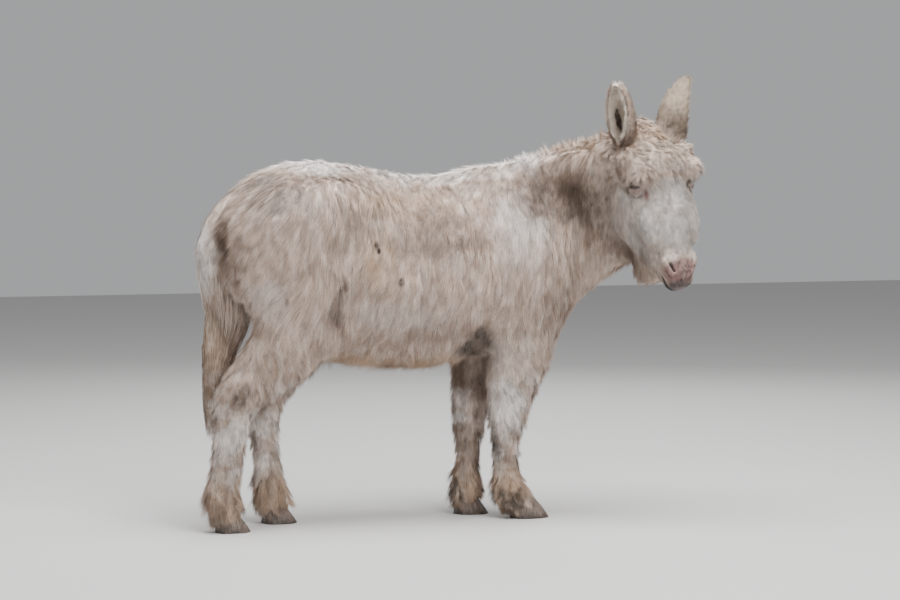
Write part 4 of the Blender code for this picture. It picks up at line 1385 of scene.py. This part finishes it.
def head_coats(shells):
    """Woolly forehead, hanging brows and cheeks, short nose and velvet lips."""
    bands = {"forehead": ("head", -1.0, 0.165, 0.0054), "face": ("head", 0.165, 0.35, 0.0048),
             "muzzle": ("muzzle", 0.35, 1.0, 0.0042)}     # shell, from and to, spacing
    sown = {}
    for name, (shell, top, end, spacing) in bands.items():
        sown[name] = scatter(
            shells[shell], lambda p: is_head(p) & (down_face(p) >= top) & (down_face(p) < end), spacing)
    around = round_axis(on_head(0, -0.04), DOWN, FRONT)
    for name, (at, n) in sown.items():
        haired = is_haired(at)
        at, n = at[haired], n[haired]
        a, b, c = in_head(at).T
        jaw = fade(b, -0.02, -0.08) * fade(a, 0.430, 0.400)
        under = jaw * np.clip(n @ DOWN * 1.6, 0, 1)
        wool = fade(a, 0.150, 0.110) * (b > -0.07)
        brow = np.exp(-((a - 0.136) / 0.018) ** 2) * fade(b, -0.04, -0.01) * (np.abs(c) < 0.15)
        bridge = fade(a, 0.165, 0.245) * (1 - jaw)
        nose = fade(a, 0.34, 0.39) * (1 - jaw)
        woolly = name == "forehead"
        yield name, dict(
            roots=at, normals=n, lie=lie_of_face(a, b, c, jaw * (1 - under)), unwrap=around,
            field=skin_muzzle if name == "muzzle" else skin_torso,
            length=(0.023 + 0.010 * jaw - 0.020 * under - 0.007 * bridge + 0.004 * brow
                    - 0.008 * nose - 0.003 * wool),
            rise=0.0055 + 0.006 * wool + 0.004 * jaw + 0.007 * brow - 0.0010 * bridge - 0.0022 * nose,
            width=0.0013 - 0.0001 * bridge, spikes=6 if woolly else 5, spread=0.0032,
            turn=0.57 if woolly else 0.12, clump=0.013, pull=0.85 if woolly else 0.35,
            vary=0.28 if woolly else 0.18, droop=0.04 + 0.2 * (jaw - under) + 0.3 * brow,
            hold=0.9 - 0.4 * wool - 0.7 * brow - 0.5 * jaw)


def lid_coats(shells):
    """Short hair on the lids, pointing away from the eye."""
    for name, side in SIDES.items():
        centre, look, long, across = eye_frame(side)
        at, n = scatter(shells["lids_" + name], lambda p: (p - centre) @ look > 0.006, 0.0034)
        outside = np.linalg.norm(at - centre, axis=1) > EYE_RADIUS + 0.0028
        outside &= from_opening(at, side, 0.0165, 0.0016) > 1
        at, n = at[outside], n[outside]
        q = at - centre
        lie = unit_rows((q @ across)[:, None] * across + 0.6 * (q @ long)[:, None] * long)
        yield "lids_" + name, dict(
            roots=at, normals=n, lie=lie, unwrap=round_axis(centre, look, UP), length=0.0130,
            rise=0.0028, width=0.0011, spread=0.0014, clump=0.008)


def ear_coats(shells):
    """Short hair over each ear, then a fringe along its rims that hangs at the foot."""
    rows = through(EAR_SHAPE, 5)
    for name, side in SIDES.items():
        root, along, opening, across = ear_frame(side)
        around = round_axis(root, along, opening)
        at, n = scatter(shells["ear_" + name], lambda p: skin_torso(p) > -0.002, 0.0043)
        q = at - root
        t = q @ along / EAR_LENGTH
        r = np.hypot(q @ opening / EAR_DEEP, q @ across)
        inner = r < np.interp(t, rows[:, 0], rows[:, 1]) - 0.0055
        tip = fade(t, 0.74, 0.96)
        foot = fade(t, 0.25, 0)
        outward = unit_rows(q - (q @ along)[:, None] * along)
        yield "ear_" + name, dict(
            roots=at, normals=n, unwrap=around,
            lie=along * (1 - 0.7 * tip)[:, None] + outward * (0.35 + 0.6 * tip)[:, None],
            length=0.015 + 0.010 * foot, width=0.0013, spread=0.0026,
            rise=np.where(inner, 0.0034, 0.0056) + 0.003 * foot + 0.004 * tip,
            turn=0.30, clump=0.012, pull=0.6, vary=0.22)
        rim = np.repeat([-1.0, 1.0], int(260 / THIN))
        t = rng.uniform(0.06, 0.92, len(rim))
        wide = np.interp(t, rows[:, 0], rows[:, 1]) - 0.004
        roll = np.radians(np.interp(t, rows[:, 0], rows[:, 2])) - 0.10
        at = (root + along * (t * EAR_LENGTH)[:, None] - opening * (np.cos(roll) * wide * EAR_DEEP)[:, None]
              + across * (rim * np.sin(roll) * wide)[:, None])
        inward = -across * rim[:, None] * 0.6 + opening * 0.8 + rng.normal(0, 0.30, (len(rim), 3))
        hang = fade(t, 0.45, 0.15)[:, None]
        yield "ear_fringe_" + name, dict(
            roots=at, normals=unit_rows(opening + across * (0.6 * rim)[:, None]), unwrap=around,
            lie=unit_rows(inward + along * 0.7 * (1 - hang) - UP * 1.1 * hang),
            length=0.014 + 0.016 * hang[:, 0], rise=0.002, width=0.0013, rings=2, spread=0.002,
            gather=0.6, curl=0.10, droop=0.15)


def tail_coat(shells):
    """Long straight hair that follows the dock and narrows with it."""
    rows = through(TAIL, 12)
    line, girth = rows[:, :3], rows[:, 3:].mean(1)
    gone = np.append(0, np.cumsum(np.linalg.norm(np.diff(line, axis=0), axis=1)))
    sown = [scatter(shells["tail"], lambda p: p[:, 2] < 0.90, 0.0096),
            scatter(shells["body"], is_rump_middle, 0.0092)]
    at, n = (np.vstack(both) for both in zip(*sown))
    near = np.argmin(np.linalg.norm(at[:, None] - line[None, ::3], axis=2), axis=1) * 3
    who = np.repeat(np.arange(len(at)), 3)
    root, start, size = at[who], gone[near][who], girth[near][who]
    offset = (at - line[near])[who]
    wide = np.linalg.norm(offset, axis=1)

    def route(p, own, t, wave):
        s = np.minimum(start + own * t, gone[-1] + 0.03)
        centre = np.stack([np.interp(s, gone, line[:, i]) for i in range(3)], 1)
        centre[:, 2] -= np.maximum(s - gone[-1], 0)
        room = np.interp(s, gone, girth) + 0.003 * math.sin(math.pi * t)
        reach = wide * (1 - t) + np.minimum(wide * room / size, room) * t
        reach = reach + 0.012 * math.sin(math.pi * min(1.0, 1.3 * t))
        sway = np.stack([np.sin(wave + 3 * t), np.cos(1.7 * wave + 2.5 * t), 0 * wave], 1) * 0.004 * t
        return centre + offset * (reach / wide)[:, None] + (p - root) + sway
    yield "tail", dict(
        roots=at, normals=n, lie=np.tile([-0.05, 0.0, -1.0], (len(at), 1)), route=route,
        unwrap=round_axis(TAIL[3][:3], UP, (1, 0, 0)), rise=0.01, width=0.0026, rings=3,
        length=0.13 + 0.03 * fade(at[:, 2], 0.8, 0.5), spread=0.0044, gather=0.5)


def build_coat(shells, material):
    """Every piece of the coat; the order of the parts is the order of the random draws."""
    parts = (trunk_coat, neck_coat, leg_coats, head_coats, lid_coats, ear_coats, tail_coat)
    return [locks("coat_" + name, material, **settings)
            for part in parts for name, settings in part(shells)]


# ---------------------------------------------------------------- eyes and hooves
def ring_quads(around, rows):
    """The quads between neighbouring rings of points, each as its corners' numbers."""
    for i in range(rows):
        for j in range(around):
            k = (j + 1) % around
            yield i * around + j, i * around + k, (i + 1) * around + k, (i + 1) * around + j


def eyeball(name, material):
    """A sphere with a bulging cornea in front."""
    centre, look, long, across = eye_frame(SIDES[name])
    rings, around = 24, 48
    bulge = 0.05                  # how far the cornea stands out, in radii
    points = []
    for i in range(1, rings):
        a = math.pi * i / rings
        radius = EYE_RADIUS * (1 + bulge * max(0.0, math.cos(a)) ** 6)
        for j in range(around):
            b = 2 * math.pi * j / around
            points.append(centre + radius * (look * math.cos(a)
                          + (long * math.cos(b) + across * math.sin(b)) * math.sin(a)))
    faces = []
    for a, b, c, d in ring_quads(around, rings - 2):
        faces += [(a, d, c), (a, c, b)]
    front, back = len(points), len(points) + 1
    points += [centre + look * EYE_RADIUS * (1 + bulge), centre - look * EYE_RADIUS]
    for j in range(around):
        k = (j + 1) % around
        faces += [(front, j, k), (back, front - around + k, front - around + j)]
    return mesh_object("eyeball_" + name, points, np.array(faces), material)


def hoof(name, material):
    """A horn wall with growth rings, a flat sole and a top hidden in the coat."""
    heel, toe, y = HOOVES[name]
    around, rows = 64, 18
    top_rise = 1.22               # the wall goes on this much higher, inside the coat
    points = []
    for i in range(rows + 1):
        rise = i / rows * top_rise
        back = heel + 0.006 * rise
        front = toe - TOE_RAKE * rise
        half = HOOF_HALF * (1 - 0.18 * rise)
        ring = 0.0007 * math.sin(rise * 34) if i else -0.0016
        for j in range(around):
            a = 2 * math.pi * j / around
            c, s = math.cos(a), math.sin(a)
            grow = ring + 0.0008 * math.sin(5 * a + 2 * rise) * (1 - c)
            px = (back + front) / 2 + ((front - back) / 2 + grow) * math.copysign(abs(c) ** 0.85, c)
            py = y + (half + grow) * math.copysign(abs(s) ** 0.85, s)
            points.append((px, py, rise * max(coronet(px, name), 0.012)))
    faces = []
    for a, b, c, d in ring_quads(around, rows):
        faces += [(a, b, c), (a, c, d)]
    last = rows * around
    sole, top = len(points), len(points) + 1
    points += [((heel + toe) / 2, y, 0.0), tuple(np.mean(points[last:], axis=0))]
    for j in range(around):
        k = (j + 1) % around
        faces += [(sole, k, j), (top, last + j, last + k)]
    return mesh_object("horn_" + name, points, np.array(faces), material)


# ---------------------------------------------------------------- put it together
shells = skin_shells()
points, quads, total = [], [], 0
for p, q in shells.values():
    points.append(p)
    quads.append(q + total)
    total += len(p)
skin = mesh_object("skin", np.vstack(points), np.vstack(quads), skin_material())
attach(skin, "root")
FLESH = ["trunk", "neck", "head", "ear_left", "ear_right", "tail_dock", "tail_switch"]
FLESH += [leg + "_leg_" + part for leg in HOOVES for part in ("upper", "lower")]
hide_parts(*FLESH)

for piece in build_coat(shells, coat_material()):
    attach(piece, "root")

horn = horn_material()
for name in HOOVES:
    piece = hoof(name, horn)
    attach(piece, "root")
    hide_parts(name + "_hoof")
wet = eye_material()
for name in SIDES:
    piece = eyeball(name, wet)
    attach(piece, "root")
    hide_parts("eye_" + name)


# ---------------------------------------------------------------- floor, light, camera
FLOOR_HALF = 12.0
LAMPS = {                         # place, watts, size
    "key": ((0.6, -4.2, 3.8), 250, 3.0),
    "top": ((-0.3, -0.6, 4.6), 440, 3.2),
    "rim": ((1.8, 3.6, 3.0), 90, 3.0),
}
LAMPS_AIM = (0.0, 0.0, 0.7)
CAMERA_TURN = math.radians(18)     # the camera looks this far to the body's right of square on
CAMERA_FAR, CAMERA_HIGH = 8.0, 1.12
CAMERA_ASIDE, CAMERA_DOWN = 70 / 2720, 158.5 / 2720   # slopes of the aim, right and down
LENS = 36 * 2720 / 900


def put_up(name, data, place, aim):
    """A lamp or camera at a place, turned to look along the aim."""
    ob = bpy.data.objects.new(name, data)
    ob.location = place
    ob.rotation_mode = "QUATERNION"
    ob.rotation_quaternion = Vector(aim).to_track_quat("-Z", "Y")
    bpy.context.scene.collection.objects.link(ob)
    return ob


def stage():
    t = Tree("floor")
    t.surface(colour(0.52, 0.51, 0.50), 0.9)
    corners = FLOOR_HALF * np.array([(-1, -1, 0), (1, -1, 0), (1, 1, 0), (-1, 1, 0)])
    floor = mesh_object("floor", corners, np.array([[0, 1, 2, 3]]), t.material, origin=0)
    world = bpy.data.worlds.new("studio")
    world.use_nodes = True
    back = world.node_tree.nodes["Background"]
    back.inputs["Color"].default_value = colour(0.97, 0.98, 1.0)
    back.inputs["Strength"].default_value = 0.42
    bpy.context.scene.world = world
    for name, (place, power, size) in LAMPS.items():
        lamp = bpy.data.lights.new(name, "AREA")
        lamp.energy, lamp.size = power, size
        put_up(name, lamp, place, np.subtract(LAMPS_AIM, place))


def camera():
    ahead = np.array([math.sin(CAMERA_TURN), math.cos(CAMERA_TURN), 0.0])
    right = np.array([math.cos(CAMERA_TURN), -math.sin(CAMERA_TURN), 0.0])
    aim = unit(ahead + right * CAMERA_ASIDE) - CAMERA_DOWN * UP
    lens = bpy.data.cameras.new("camera")
    lens.lens, lens.sensor_width = LENS, 36
    place = BODY_AT - ahead * CAMERA_FAR + CAMERA_HIGH * UP
    bpy.context.scene.camera = put_up("camera", lens, place, aim)


stage()
camera()
